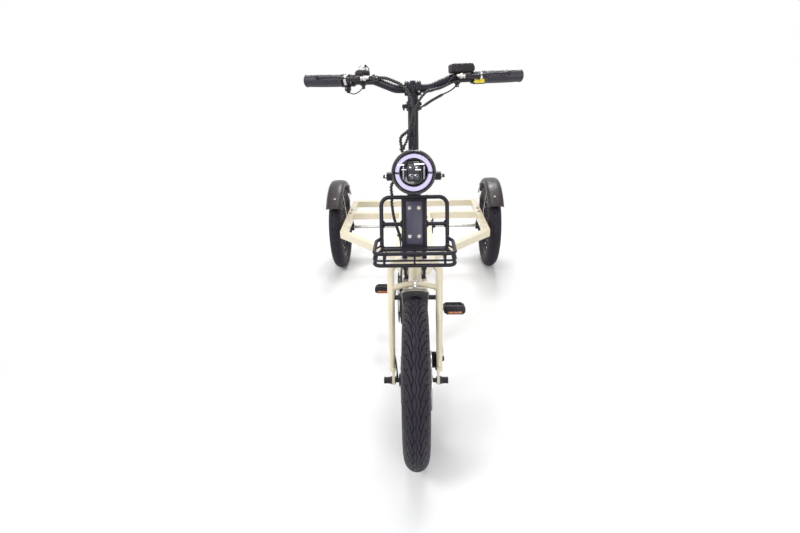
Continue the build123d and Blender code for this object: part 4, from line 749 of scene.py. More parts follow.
def mudguard(kit, hub, section, ahead, behind, corner, thick, border, under=None):
    """A crowned sheet round a wheel with rounded corners and a rolled border."""
    runs = [0.0]
    for (ax, ar), (bx, br) in zip(section, section[1:]):
        runs.append(runs[-1] + hypot(bx - ax, br - ar))
    half = runs[-1] / 2

    def spot(s):
        s = min(max(s + half, 0.0), runs[-1])
        k = next(i for i in range(1, len(runs)) if runs[i] >= s - 1e-12)
        t = (s - runs[k - 1]) / (runs[k] - runs[k - 1])
        (ax, ar), (bx, br) = section[k - 1], section[k]
        size = hypot(bx - ax, br - ar)
        return (ax + (bx - ax) * t, ar + (br - ar) * t, -(br - ar) / size, (bx - ax) / size)

    low, high = -radians(behind), radians(ahead)
    top = max(r for x, r in section)
    rows, columns = 64, 28
    where = round_wheel(hub)
    outer, inner, verts = [], [], []
    for i in range(rows + 1):
        t = 0.5 - 0.5 * cos(pi * i / rows)
        a = low + (high - low) * t
        near = min(a - low, high - a) * top
        cut = 0.0
        if near < corner:
            cut = corner - sqrt(max(0.0, corner ** 2 - (corner - near) ** 2))
        line_out, line_in = [], []
        for k in range(columns + 1):
            x, r, nx, nr = spot((half - cut) * (2 * k / columns - 1))
            for line, depth in ((line_out, 0.0), (line_in, thick)):
                q, p = r - nr * depth, x - nx * depth
                line.append(len(verts))
                verts.append((q * cos(a), q * sin(a), p))
        outer.append(line_out)
        inner.append(line_in)
    faces, below = [], []
    for i in range(rows):
        for k in range(columns):
            faces.append((outer[i][k], outer[i + 1][k], outer[i + 1][k + 1], outer[i][k + 1]))
            below.append((inner[i][k], inner[i + 1][k], inner[i + 1][k + 1], inner[i][k + 1]))
        for k in (0, columns):
            faces.append((outer[i][k], outer[i + 1][k], inner[i + 1][k], inner[i][k]))
    for i in (0, rows):
        for k in range(columns):
            faces.append((outer[i][k], outer[i][k + 1], inner[i][k + 1], inner[i][k]))
    kit.add(verts, faces, None, where)
    # The underside can take its own finish; on the front fender that dark finish is painted shade.
    kit.add(verts, below, under, where)
    loop = [(outer[0][k], inner[0][k]) for k in range(columns + 1)]
    loop += [(outer[i][columns], inner[i][columns]) for i in range(1, rows + 1)]
    loop += [(outer[rows][k], inner[rows][k]) for k in range(columns - 1, -1, -1)]
    loop += [(outer[i][0], inner[i][0]) for i in range(rows - 1, 0, -1)]
    points = [where @ ((Vector(verts[p]) + Vector(verts[q])) / 2) for p, q in loop]
    kept = [points[0]]
    for p in points[1:]:
        if (p - kept[-1]).length > 0.0006:
            kept.append(p)
    kit.tube(kept, border, None, 8, closed=True)


def crowned(width, top, drop, power, count=36):
    """Half a super-ellipse across a fender, as (x, radius) from edge to edge."""
    section = []
    for k in range(count + 1):
        a = pi * (k / count - 0.5)
        s, c = sin(a), max(0.0, cos(a))
        section.append((copysign(abs(s) ** (2 / power), s) * width / 2, top - drop *
            (1 - c ** (2 / power))))
    return section


leg_top, leg_run = 0.318, 0.294
bar_up = 0.786


def leg_side(up):
    """How far a fork leg's middle stands from the fork's plane at a height."""
    return 0.0675 - 0.004 * (leg_top - up) / leg_run


def leg_lean(up):
    """How far a fork leg's middle is behind the steering axis at a height."""
    return -0.045 * (leg_top - up) / leg_run


kit = Kit(warm_grey, zinc, dark_steel, plastic)
# The front fender's underside is dark plastic: painted shade under the fender.
mudguard(kit, front_hub, crowned(0.077, top=0.2492, drop=0.013, power=2.3), ahead=-16.0,
    behind=66.0, corner=0.005, thick=0.0018, border=0.001, under=plastic)
for x in (-0.028, -0.021, 0.021, 0.028):
    lean = radians(-19.2)
    spot = at(polar(0.2488, lean, x), polar(1, lean), Z)
    kit.bolt(round_wheel(front_hub) @ spot, 0.0026, 0.0014, zinc, dark_steel, washer=1.5)
kit.tube([steer(0, leg_lean(0.259) - 0.0103, up) for up in (0.2465, 0.252, 0.262, 0.268)], 0.0019,
    zinc, 8)
kit.build("fender_front", "steering", 40, ("front_fender",))

kit = Kit(ivory, zinc, bright, dark_steel, plastic)
for side in (-1, 1):
    foot = steer(side * 0.0572, leg_lean(0.247), 0.2492)
    weld(kit, foot, (steer(side * 0.063, leg_lean(0.247), 0.247) - foot), 0.008, ivory)
    weld(kit, steer(side * leg_side(0.034), leg_lean(0.034), 0.034), steer_axis, 0.0083, ivory,
        0.0011)
weld(kit, steer(0, 0, 0.3285), steer_axis, 0.0202, ivory, 0.0014)
strap_back = leg_lean(0.259) - 0.0128
for x in (-0.0042, 0.0042):
    kit.tube(eased([steer(x, strap_back + 0.006, 0.2735), steer(x, strap_back + 0.0008, 0.2705),
        steer(x, strap_back, 0.264), steer(x, strap_back, 0.254),
        steer(x, strap_back + 0.0008, 0.2475), steer(x, strap_back + 0.006, 0.245)], 5), 0.0016,
        zinc, 8)
kit.block((0.0118, 0.0022, 0.0175), at(steer(0, strap_back + 0.0012, 0.259), steer_axis, X), zinc,
    0.001)
for up in (0.2545, 0.2635):
    kit.bolt(at(steer(0, strap_back, up), -steer_back), 0.0026, 0.0016, bright, dark_steel,
        washer=1.35)
kit.block((0.015, 0.01, 0.0022), at(steer(0, strap_back + 0.0045, 0.2452), steer_axis, X), zinc,
    0.0008)
for side in (-1, 1):
    hole = steer(side * 0.0632, -0.045, 0.0225)
    kit.bolt(at(hole, X * side), 0.003, 0.0014, zinc, dark_steel)
kit.build("fork_details", "steering", 40)

kit = Kit(plastic, zinc)
for side in (-1, 1):
    where = at(front_hub, X * side)
    kit.lathe([(0.006, 0.0567), (0.01, 0.0566), (0.0102, 0.055), (0.006, 0.0545)], where, plastic,
        32)
    kit.lathe([(0.006, 0.0631), (0.0118, 0.0631), (0.012, 0.0638), (0.0116, 0.0646),
        (0.006, 0.0647)], where, zinc, 32)
    kit.nut(where @ shift(0, 0, 0.0647), 0.0108, 0.004, plastic)
    kit.lathe([(0.0088, 0.0686), (0.0092, 0.0692), (0.009, 0.076), (0.0084, 0.078), (0.0084, 0.08),
        (0.009, 0.0815), (0.009, 0.085), (0.0082, 0.0868), (0, 0.087)], where, plastic, 32)
    kit.lathe([(0.006, 0.0), (0.006, 0.07)], where, plastic, 24)
kit.build("axle_front", "steering", 35, ("front_axle",))

kit = Kit(satin, zinc, dark_steel, sheath)
body = at(steer(0.0495, 0.008, 0.038), steer_axis, X)
kit.block((0.0105, 0.034, 0.046), body @ shift(0.0092, 0, 0), satin, 0.004, 3)
kit.block((0.005, 0.034, 0.046), body @ shift(-0.0118, 0, 0), satin, 0.002, 3)
kit.block((0.0285, 0.01, 0.046), body @ shift(0, 0.0125, 0), satin, 0.003, 3)
kit.block((0.009, 0.026, 0.03), body @ shift(0.0096, -0.026, 0), satin, 0.003, 3)
for up in (-0.016, 0.016):
    kit.bolt(at(steer(0.064, 0.017, 0.038 + up), X), 0.0036, 0.0022, zinc, dark_steel)
    kit.bolt(at(steer(0.0636, -0.014, 0.038 + up * 0.6), X), 0.0034, 0.002, zinc, dark_steel,
        washer=1.4)
kit.lathe([(0.0105, 0), (0.0112, 0.002), (0.0098, 0.006), (0.008, 0.008), (0.0078, 0.014),
    (0.0066, 0.0155), (0.003, 0.0157)], at(steer(0.0638, 0.004, 0.046), X), satin, 28)
kit.bolt(at(steer(0.0795, 0.004, 0.046), X), 0.004, 0.0012, zinc, dark_steel)
kit.block((0.004, 0.02, 0.008), at(steer(0.076, 0.014, 0.054), steer_axis, X), zinc, 0.0012)
line = eased([steer(0.076, 0.023, 0.056), steer(0.0745, 0.022, 0.08), steer(0.07, 0.006, 0.13),
    steer(0.069, -0.002, 0.19), steer(0.069, 0.0045, 0.24), steer(0.062, 0.016, 0.285),
    steer(0.048, 0.015, 0.312), steer(0.046, 0.0085, 0.318)], 8)
kit.tube(line, 0.0022, sheath, 8)
kit.tube([steer(0.076, 0.023, 0.053), steer(0.0758, 0.023, 0.063)], 0.0034, zinc, 10)
kit.build("caliper", "steering", 35, ("front_caliper",))

kit = Kit(sheath, plastic)
line = eased([steer(-0.046, 0.008, 0.318), steer(-0.05, 0.017, 0.312), steer(-0.062, 0.016, 0.285)]
    + [steer(-leg_side(up), leg_lean(up) + 0.0123, up) for up in (0.236, 0.18, 0.122)] +
    [steer(-0.0632, -0.02, 0.09), steer(-0.056, -0.03, 0.055), steer(-0.0515, -0.04, 0.024),
    steer(-0.0508, -0.044, 0.006)], 8)
kit.tube(line, [0.002] * (len(line) - 6) + [0.0024, 0.0028, 0.0032, 0.0034, 0.0034, 0.0032],
    sheath, 10)
for side in (-1, 1):
    kit.tube([steer(side * 0.046, 0.0085, 0.318), steer(side * 0.0462, 0.012, 0.3175)],
        [0.0042, 0.003], plastic, 14)
kit.build("motor_lead", "steering", 40)

# ---- Headlight ----
lamp_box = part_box("headlight_housing")
lamp_face = Vector((0, lamp_box[0][1], (lamp_box[0][2] + lamp_box[1][2]) / 2))
glow = surface("halo_light", (0.56, 0.5, 0.74), 0.4, speck=0.02, bump=0.05)
# Painted highlights: this white glowing finish stands in for reflections of the lamps on the lens
# face and for glints on the projector domes; it is no light of the headlight's own.
painted_highlight = surface("painted_lens_highlight", (1.0, 1.0, 1.0), 0.3, speck=0.01, bump=0.03)
for mat, tint, power in ((glow, (0.8, 0.74, 1.0, 1), 0.16), (painted_highlight, (1, 1, 1, 1), 0.8)):
    shader = mat.node_tree.nodes["Principled BSDF"]
    shader.inputs["Emission Color"].default_value = tint
    shader.inputs["Emission Strength"].default_value = power
chrome = surface("dim_chrome", (0.42, 0.41, 0.47), 0.24, metal=1.0, speck=0.15, bump=0.1,
    bump_scale=300)
glass = surface("lamp_glass", (0.055, 0.058, 0.075), 0.05, coat=1.0, coat_rough=0.02, speck=0.1,
    bump=0.02, rough_spread=0.02)
front = at(lamp_face, -Y, X)

kit = Kit(gloss_black)
kit.lathe([(0.0, -0.024), (0.022, -0.0235), (0.0335, -0.019), (0.0352, -0.0095), (0.0362, -0.0086),
    (0.0366, -0.0105), (0.0482, -0.0105), (0.049, -0.008), (0.05, -0.004), (0.0512, -0.001),
    (0.0532, 0.0), (0.0555, -0.001), (0.0567, -0.0035), (0.057, -0.007), (0.057, -0.014),
    (0.056, -0.0158), (0.0512, -0.0162), (0.0503, -0.019), (0.05, -0.04), (0.047, -0.049),
    (0.04, -0.055), (0.03, -0.0574), (0.012, -0.058), (0.0, -0.058)], front, gloss_black, 96)
for turn in turns(9):
    rib = [front @ polar(r, turn, h) for r, h in ((0.0502, -0.02), (0.0508, -0.022),
        (0.0508, -0.034), (0.05, -0.039))]
    kit.tube(rib, 0.0012, gloss_black, 6)
kit.build("headlight_shell", "frame", 40, ("headlight_housing",))

kit = Kit(glow, gloss_black, chrome, glass, painted_highlight)
gap = radians(3.6)
for start in (gap, pi + gap):
    where = front @ Matrix.Rotation(start, 4, "Z")
    kit.lathe([(0.0369, -0.01), (0.0371, -0.0062), (0.0385, -0.0046), (0.0425, -0.004),
        (0.0465, -0.0046), (0.0478, -0.0062), (0.048, -0.01)], where, glow, 72, arc=pi - 2 * gap)
for side in (-1, 1):
    kit.block((0.0135, 0.0052, 0.0075), front @ shift(side * 0.042, 0, -0.0066), gloss_black,
        0.0012)
    kit.block((0.0075, 0.036, 0.01), front @ shift(side * 0.0262, -0.002, -0.0175) @
        Matrix.Rotation(side * 0.5, 4, "Y"), chrome, 0.0025, 3)
kit.block((0.033, 0.055, 0.009), front @ shift(0, 0.002, -0.0205), gloss_black, 0.004, 3)
for x, y, r in ((-0.0088, 0.0115, 0.007), (0.0088, 0.0115, 0.007), (-0.005, -0.0145, 0.0075),
        (0.0078, -0.0135, 0.006)):
    spot = front @ shift(x, y, -0.0165)
    kit.lathe([(r + 0.0016, 0.0), (r + 0.0016, 0.0022), (r + 0.0006, 0.003), (r, 0.0022)], spot,
        chrome, 32)
    kit.lathe([(r * cos(pi / 16 * k), 0.0016 + r * 0.62 * sin(pi / 16 * k)) for k in range(9)],
        spot, glass, 32)
# Painted reflections: thin white glowing strips across the upper lens face.
for x, y, wide, high in ((-0.032, 0.0205, 0.0165, 0.0026), (0.014, 0.0222, 0.0255, 0.0034),
        (-0.0245, 0.0085, 0.012, 0.0014), (0.011, 0.008, 0.0145, 0.0022)):
    kit.block((wide, high, 0.0012), front @ shift(x, y, -0.0044), painted_highlight, 0.0005)
# Painted glints on the tops of the two upper projector domes.
for x, y in ((-0.0085, 0.0128), (0.007, 0.0122)):
    kit.block((0.0036, 0.003, 0.0012), front @ shift(x, y, -0.0098), painted_highlight, 0.0005)
kit.lathe([(0.049, -0.0074), (0.0482, -0.006), (0.0474, -0.0074)], front, gloss_black, 96)
kit.build("headlight_face", "frame", 40, ("headlight_lens",))

kit = Kit(zinc)
ear_y = lamp_face.y + 0.031
ear_z = lamp_face.z - 0.014
for side in (-1, 1):
    where = at((side * 0.0792, ear_y, ear_z), X * side)
    kit.nut(where @ shift(0, 0, -0.01), 0.0068, 0.0045, zinc)
    kit.lathe([(0.0042, -0.0055), (0.0042, 0.0), (0.003, 0.0012), (0, 0.0014)], where, zinc, 20)
    kit.lathe([(0.0085, -0.0105), (0.0085, -0.0093), (0.004, -0.009)], where, zinc, 24)
kit.build("headlight_bolts", "frame", 35)

# ---- Rack details ----
rack_tube = 0.0056


def rack(x, up, ahead=0.0):
    """A point of the rack's plane, which stands ahead of the steering axis."""
    return steer(x, -0.036 - ahead, up)


# Painted light: the plate's middle panel takes a lighter copy of the black paint, for the light
# its flat face catches.
lit_panel_black = surface("rack_panel", (0.04, 0.034, 0.066), 0.42, speck=0.12, speck_scale=120, bump=0.2,
    bump_scale=1300, rough_spread=0.07)

kit = Kit(satin, zinc, dark_steel, lit_panel_black)
low, high = 0.358, 0.494
middle = (low + high) / 2
plate = at(rack(0, middle, 0.0015), -steer_back, X * -1)
for side in (-1, 1):
    kit.block((0.006, 0.129, 0.0034), plate @ shift(side * 0.03, 0, 0.0012), satin, 0.0014, 3)
    kit.block((0.003, 0.118, 0.0044), plate @ shift(side * 0.0236, 0, 0.0018), satin, 0.0014, 3)
for side in (-1, 1):
    kit.block((0.048, 0.003, 0.0044), plate @ shift(0, side * 0.059, 0.0018), satin, 0.0014, 3)
# The middle panel, in the lighter copy of the black paint: painted light.
kit.block((0.045, 0.114, 0.0012), plate @ shift(0, 0, 0.0004), lit_panel_black, 0.0005)
for up in (0.39, 0.465):
    for side in (-1, 1):
        where = at(rack(side * 0.0124, up, 0.0021), -steer_back)
        kit.bolt(where, 0.004, 0.0026, zinc, dark_steel, washer=1.7)
for side in (-1, 1):
    for up in (low, 0.423, high):
        weld(kit, rack(side * 0.034, up), X, rack_tube, satin, 0.001)
    weld(kit, rack(side * 0.0822, 0.423), X, rack_tube, satin, 0.001)
    for up, x in ((0.4165, 0.034), (0.4295, 0.034), (0.4165, 0.0818), (0.4295, 0.0818)):
        kit.block((0.006, 0.006, 0.0036), at(rack(side * x, up), -steer_back, X * -1) @
            Matrix.Rotation(pi / 4, 4, "Z"), satin, 0.0012)
kit.build("rack_details", "frame", 40)

# ---- Handlebar and its controls ----
bar_middle = steer(0, 0, bar_up)
knee_step = (0.106, 0.026, 0.022)
end_step = (0.309, 0.108, 0.0225)


def bar_inward(side):
    """The way from a handlebar end towards the middle."""
    return Vector((side * (knee_step[0] - end_step[0]), knee_step[1] - end_step[1], knee_step[2] -
        end_step[2])).normalized()


def on_bar(side, along, ahead=0.0, up=0.0):
    """A point beside the handlebar, measured from its outer end inwards."""
    inward = bar_inward(side)
    end = Vector((side * end_step[0], end_step[1], end_step[2]))
    return bar_middle + end + inward * along + Z.cross(inward) * side * ahead + Z * up


def sleeve(side, along):
    """A frame on the handlebar's line whose Z points inwards."""
    return at(on_bar(side, along), bar_inward(side), Z)


def facing(side, along, ahead=0.0, up=0.0, tilt=0.0):
    """A frame beside the handlebar: X along it, Y to the front, Z up."""
    inward = bar_inward(side)
    forward = Z.cross(inward) * side
    where = Matrix((forward.cross(Z), forward, Z)).transposed().to_4x4()
    return (Matrix.Translation(on_bar(side, along, ahead, up)) @ where @
        Matrix.Rotation(tilt, 4, "X"))


sleeve_bore = 0.0113
grip_run = 0.126
pod_from = grip_run + 0.003
clamp_from = 0.145
clamp_run = 0.014
screen_from = 0.1605
bell_at = 0.186


def collar(kit, where, radius, width, edge, run, seg=36):
    """A ring round the handlebar whose ends are cut back by edge over run."""
    kit.lathe([(sleeve_bore, 0), (radius - edge, 0), (radius, run), (radius, width - run),
        (radius - edge, width), (sleeve_bore, width)], where, plastic, seg)


kit = Kit(grip_rubber, bright)
for side in (-1, 1):
    where = sleeve(side, 0.0)
    profile = [(0.0112, 0.0012), (0.015, 0.0), (0.0166, 0.001), (0.0172, 0.003), (0.017, 0.0052),
        (0.016, 0.0065)]
    for index in range(40):
        h = 0.008 + 0.0027 * index
        swell = 0.0006 * sin(pi * index / 39)
        profile += [(0.0157 + swell, h), (0.0162 + swell, h + 0.0006),
            (0.0162 + swell, h + 0.0015), (0.0157 + swell, h + 0.0021)]
    profile += [(0.0162, grip_run - 0.0085), (0.0172, grip_run - 0.007),
        (0.0174, grip_run - 0.003), (0.0168, grip_run - 0.0004), (0.015, grip_run),
        (0.0112, grip_run)]
    kit.lathe(profile, where, grip_rubber, 40)
    kit.lathe([(sleeve_bore, 0.0011), (0.0106, -0.0001), (0.0085, 0.0003), (0.006, 0.0013),
        (0.0, 0.0014)], where, bright, 32)
    kit.lathe([(0.0151, 0.0003), (0.0158, -0.0001), (0.0168, 0.0008), (0.0168, 0.0014)], where,
        bright, 40)
kit.build("grips_ribbed", "steering", 45, ("grips",))

kit = Kit(plastic, zinc, dark_steel)
for side in (-1, 1):
    middle = clamp_from + clamp_run / 2
    where = sleeve(side, clamp_from)
    collar(kit, where, 0.0156, clamp_run, 0.0008, 0.001)
    kit.block((0.013, 0.018, 0.012), facing(side, middle, 0.02, 0.002), plastic, 0.004, 3)
    arm = [on_bar(side, middle + d, a, u) for d, a, u in ((-0.004, 0.022, 0.003),
        (0.002, 0.03, 0.003), (0.014, 0.033, 0.004), (0.03, 0.031, 0.005), (0.042, 0.028, 0.006))]
    kit.tube(eased(arm, 6), [0.0092 - 0.0034 * k / 24 for k in range(25)], plastic, 16, flat=0.8,
        up=Z)
    barrel = on_bar(side, middle + 0.041, 0.0282, 0.006)
    tip = on_bar(side, middle + 0.064, 0.0225, 0.0075)
    where = at(barrel, tip - barrel)
    kit.lathe([(0.003, 0.0), (0.0056, 0.0005), (0.006, 0.0015), (0.006, 0.005), (0.0046, 0.0055),
        (0.0046, 0.007), (0.0058, 0.0075), (0.0062, 0.009), (0.0054, 0.015), (0.0042, 0.019),
        (0.0034, 0.023), (0.0022, 0.0236)], where, zinc, 24)
    for a in turns(12):
        kit.tube([where @ polar(r, a, h) for r, h in ((0.0058, 0.008), (0.0062, 0.009),
            (0.0056, 0.014))], 0.0007, zinc, 5)
    blade = eased([on_bar(side, along, ahead, up) for along, ahead, up in
        ((middle + 0.004, 0.028, 0.005), (middle - 0.008, 0.035, 0.0075),
        (middle - 0.026, 0.043, 0.0095), (0.112, 0.0435, 0.01), (0.096, 0.0425, 0.0095),
        (0.082, 0.043, 0.009), (0.069, 0.0452, 0.009))], 8)
    count = len(blade)
    kit.tube(blade, [0.0068 - 0.0026 * sin(pi * min(1.0, 1.15 * k / count)) ** 2 - 0.0008 * k /
        count for k in range(count)], plastic, 16, flat=0.62, up=Z)
    ball = on_bar(side, 0.068, 0.0455, 0.009)
    profile = [(0.007 * sin(pi * k / 12), -0.007 * cos(pi * k / 12)) for k in range(13)]
    kit.lathe([(max(r, 0.0), h) for r, h in profile], at(ball, bar_inward(side)), plastic, 24)
    kit.lathe([(0.0046, -0.0078), (0.0052, -0.0072), (0.0052, 0.0072), (0.0046, 0.0078)],
        at(on_bar(side, middle - 0.004, 0.0335, 0.006), Z), zinc, 20)
    for up in (-0.0078, 0.0078):
        kit.bolt(at(on_bar(side, middle - 0.004, 0.0335, 0.006 + up), Z * (1 if up > 0 else -1)),
            0.0036, 0.0018, zinc, dark_steel)
    kit.bolt(at(on_bar(side, middle + 0.0064, 0.0205, -0.003), bar_inward(side)), 0.0026, 0.0016,
        zinc, dark_steel)
    kit.bolt(at(on_bar(side, middle - 0.0064, 0.0215, -0.001), bar_inward(side) * -1), 0.003,
        0.0022, zinc, dark_steel, washer=1.4)
kit.build("levers_shaped", "steering", 40, ("brake_levers",))

kit = Kit(plastic, brushed, dark_steel)
where = sleeve(-1, pod_from)
kit.lathe([(sleeve_bore, 0.0), (0.016, 0.0), (0.0168, 0.001), (0.0168, 0.003), (0.016, 0.0034)],
    where, plastic, 40)
kit.lathe([(0.0158, 0.0034), (0.0162, 0.004), (0.0162, 0.012), (0.0158, 0.0126)], where, brushed,
    40)
for a in turns(20):
    kit.tube([where @ polar(0.0162, a, h) for h in (0.0045, 0.0055, 0.0105, 0.0115)],
        [0.0002, 0.0007, 0.0007, 0.0002], brushed, 5)
kit.lathe([(0.0158, 0.0126), (0.0168, 0.013), (0.0168, 0.0146), (0.015, 0.015),
    (sleeve_bore, 0.015)], where, plastic, 40)
kit.block((0.014, 0.019, 0.017), facing(-1, 0.1385, 0.004, -0.0195), plastic, 0.0045, 3)
kit.block((0.009, 0.01, 0.008), facing(-1, 0.14, 0.004, -0.0285), plastic, 0.003, 3)
kit.bolt(at(on_bar(-1, 0.1385, 0.0135, -0.0195), Z.cross(bar_inward(-1)) * -1), 0.0022, 0.0012,
    brushed, dark_steel)
kit.build("throttle_pod", "steering", 40, ("throttle",))

kit = Kit(plastic, yellow, zinc, dark_steel)
where = sleeve(1, pod_from)
collar(kit, where, 0.0154, 0.015, 0.0008, 0.001, 40)
kit.block((0.031, 0.011, 0.0155), facing(1, 0.1425, 0.015, 0.004, 0.05), plastic, 0.0035, 3)
kit.block((0.03, 0.009, 0.013), facing(1, 0.143, 0.015, -0.0075, 0.05), yellow, 0.0022, 3)
kit.block((0.013, 0.003, 0.007), facing(1, 0.137, 0.0192, -0.007, 0.05), yellow, 0.0012, 3)
kit.block((0.033, 0.008, 0.003), facing(1, 0.1425, 0.0135, -0.015, 0.05), plastic, 0.0012, 3)
for along in (0.131, 0.154):
    kit.bolt(at(on_bar(1, along, 0.0205, 0.0075), Z.cross(bar_inward(1))), 0.0018, 0.001, zinc,
        dark_steel)
kit.build("switch_pod", "steering", 40, ("light_switch",))

# ---- Display and bell ----

kit = Kit(plastic, gloss_black, zinc, dark_steel)
screen_run = 0.066
tilt = radians(8)
middle = screen_from + screen_run / 2
low = 0.0121
case = facing(1, middle, 0.004, low + 0.012, tilt)
kit.block((screen_run, 0.03, 0.023), case, plastic, 0.0052, 5)
kit.block((0.056, 0.002, 0.0165), case @ shift(0, 0.0146, -0.0005), plastic, 0.0009, 3)
kit.block((0.048, 0.02, 0.0012), case @ shift(0.002, -0.001, 0.0116), gloss_black, 0.0005, 3)
kit.block((0.0012, 0.0304, 0.0234), case @ shift(-0.021, 0, 0), plastic, 0.0005)
for x in (-0.021, 0.021):
    for z in (-0.006, 0.006):
        kit.bolt(case @ shift(x, 0.0156, z) @ turned((0, 1, 0)), 0.0015, 0.0007, dark_steel,
            dark_steel)
kit.block((0.016, 0.025, 0.019), facing(1, screen_from + 0.003, 0.004, low + 0.0115, tilt),
    plastic, 0.0075, 4)
where = sleeve(1, screen_from + 0.036)
collar(kit, where, 0.0151, 0.012, 0.0008, 0.0008)
kit.block((0.011, 0.006, 0.01), facing(1, screen_from + 0.042, 0.0, -0.0175), plastic, 0.002, 3)
kit.bolt(at(on_bar(1, screen_from + 0.042, 0.0032, -0.0178), Z.cross(bar_inward(1))), 0.0024,
    0.0016, zinc, dark_steel)
kit.build("display_case", "steering", 40, ("display",))

kit = Kit(plastic, zinc, brushed, dark_steel)
base = on_bar(-1, bell_at, 0.002, 0.0121)
where = at(base, Z, bar_inward(-1))
kit.lathe([(0.0, 0.0), (0.0185, 0.0), (0.0205, 0.0008), (0.0209, 0.0022), (0.0204, 0.0034),
    (0.0209, 0.0046), (0.0204, 0.0058), (0.0209, 0.007), (0.0198, 0.01), (0.0172, 0.0128),
    (0.014, 0.0146), (0.0118, 0.0152), (0.0, 0.0152)], where, plastic, 48)
dome = [(0.0118 * cos(pi / 20 * k), 0.015 + 0.0115 * sin(pi / 20 * k)) for k in range(11)]
kit.lathe([(0.0124, 0.0148), (0.0126, 0.0154)] + [(max(r, 0.0), h) for r, h in dome], where, zinc,
    48)
kit.lathe([(0.003, 0.0262), (0.003, 0.0272), (0.0022, 0.0279), (0, 0.028)], where, brushed, 20)
hook = eased([where @ Vector(p) for p in ((0.0195, 0.0, 0.008), (0.0198, 0.001, 0.015),
    (0.0162, 0.002, 0.0205), (0.0126, 0.002, 0.0232), (0.0098, 0.002, 0.0244))], 6)
kit.tube(hook, [0.0021 - 0.0006 * k / len(hook) for k in range(len(hook))], plastic, 10, flat=0.7)
kit.lathe([(0.0, -0.0034), (0.0024, -0.0028), (0.0034, 0.0), (0.0024, 0.0028), (0.0, 0.0034)],
    where @ shift(0.0095, 0.002, 0.0244), plastic, 16)
clip = sleeve(-1, bell_at - 0.005)
collar(kit, clip, 0.0146, 0.01, 0.0006, 0.0006)
kit.block((0.009, 0.007, 0.01), facing(-1, bell_at, 0.0, -0.017), plastic, 0.002, 3)
kit.bolt(at(on_bar(-1, bell_at, 0.0037, -0.0172), Z.cross(bar_inward(-1)) * -1), 0.0024, 0.0016,
    brushed, dark_steel)
kit.build("bell_shell", "steering", 40, ("bell",))

# ---- Stem ----

kit = Kit(satin, bright, dark_steel, gloss_black)
foot = at(steer(0, 0, 0), steer_axis, X)
kit.lathe([(0.0146, 0.4905), (0.0172, 0.4905), (0.018, 0.4915), (0.018, 0.499), (0.0174, 0.5),
    (0.0174, 0.526), (0.018, 0.527), (0.018, 0.532), (0.017, 0.534), (0.0146, 0.535),
    (0.014, 0.5362), (0.014, 0.727), (0.0146, 0.7285)], foot, satin, 48)
kit.lathe([(0.0146, 0.7285), (0.0174, 0.729), (0.018, 0.73), (0.018, 0.7395), (0.0172, 0.74),
    (0.0172, 0.7412), (0.018, 0.7417), (0.018, 0.75), (0.0174, 0.751), (0.0146, 0.7512),
    (0.014, 0.753), (0.014, 0.772)], foot, satin, 48)
neck = [steer(0, 0, up) for up in (0.752, 0.764, 0.772, 0.78)]
kit.tube(neck, [0.014, 0.0142, 0.0155, 0.0165], satin, 32)
clamp = at(bar_middle, X, steer_axis)
kit.lathe([(sleeve_bore, -0.0225), (0.0168, -0.0225), (0.0178, -0.0215), (0.018, -0.0195),
    (0.018, 0.0195), (0.0178, 0.0215), (0.0168, 0.0225), (sleeve_bore, 0.0225)], clamp, satin, 48)
front_face = -steer_back
for x in (-0.0155, -0.0052, 0.0052, 0.0155):
    rib = eased([steer(x, b, bar_up + u) for b, u in ((-0.006, 0.018), (-0.0135, 0.014),
        (-0.018, 0.006), (-0.0184, -0.004), (-0.0145, -0.014), (-0.007, -0.0185))], 5)
    kit.tube(rib, 0.002, satin, 8)
for x in (-0.016, 0.016):
    for u in (-0.0125, 0.0125):
        lug = at(steer(x, -0.013, bar_up + u), front_face)
        kit.lathe([(0.0, -0.006), (0.0042, -0.006), (0.0044, 0.002), (0.0038, 0.003),
            (0.0, 0.003)], lug, satin, 20)
        kit.bolt(lug @ shift(0, 0, 0.003), 0.0028, 0.0018, bright, dark_steel)
kit.block((0.007, 0.0022, 0.03), at(steer(0, -0.0192, bar_up), steer_axis, X), satin, 0.001)
for u in (-0.0055, 0.0055):
    hinge = at(steer(0.017, 0.0, 0.74 + u), steer_axis)
    kit.lathe([(0, -0.004), (0.004, -0.004), (0.0044, -0.003), (0.0044, 0.003), (0.004, 0.004),
        (0, 0.004)], hinge @ shift(0.002, 0, 0), satin, 20)
root = steer(-0.018, 0.0, 0.74)
kit.lathe([(0.0, 0.0), (0.005, 0.0), (0.0054, 0.001), (0.0054, 0.009), (0.0046, 0.0105),
    (0.0, 0.0108)], at(root, X * -1), satin, 24)
kit.bolt(at(root + X * -0.0105, X * -1), 0.003, 0.0012, bright, dark_steel)
handle = eased([root + X * -0.0085 + Vector(p) for p in ((0, -0.005, 0.001), (-0.0005, 0.006, 0.0),
    (-0.001, 0.018, -0.004), (0.0, 0.028, -0.008), (0.001, 0.034, -0.01))], 6)
kit.tube(handle, [0.0046 - 0.0016 * sin(pi * k / (len(handle) - 1)) for k in range(len(handle))],
    satin, 14, flat=0.6, up=X)
kit.lathe([(0.0186, 0.518), (0.0192, 0.5186), (0.0192, 0.5214), (0.0186, 0.522)], foot, satin, 40)
kit.bolt(at(steer(0, -0.0178, 0.512), front_face), 0.0034, 0.0024, bright, dark_steel)
kit.build("stem_post", "steering", 35, ("stem",))

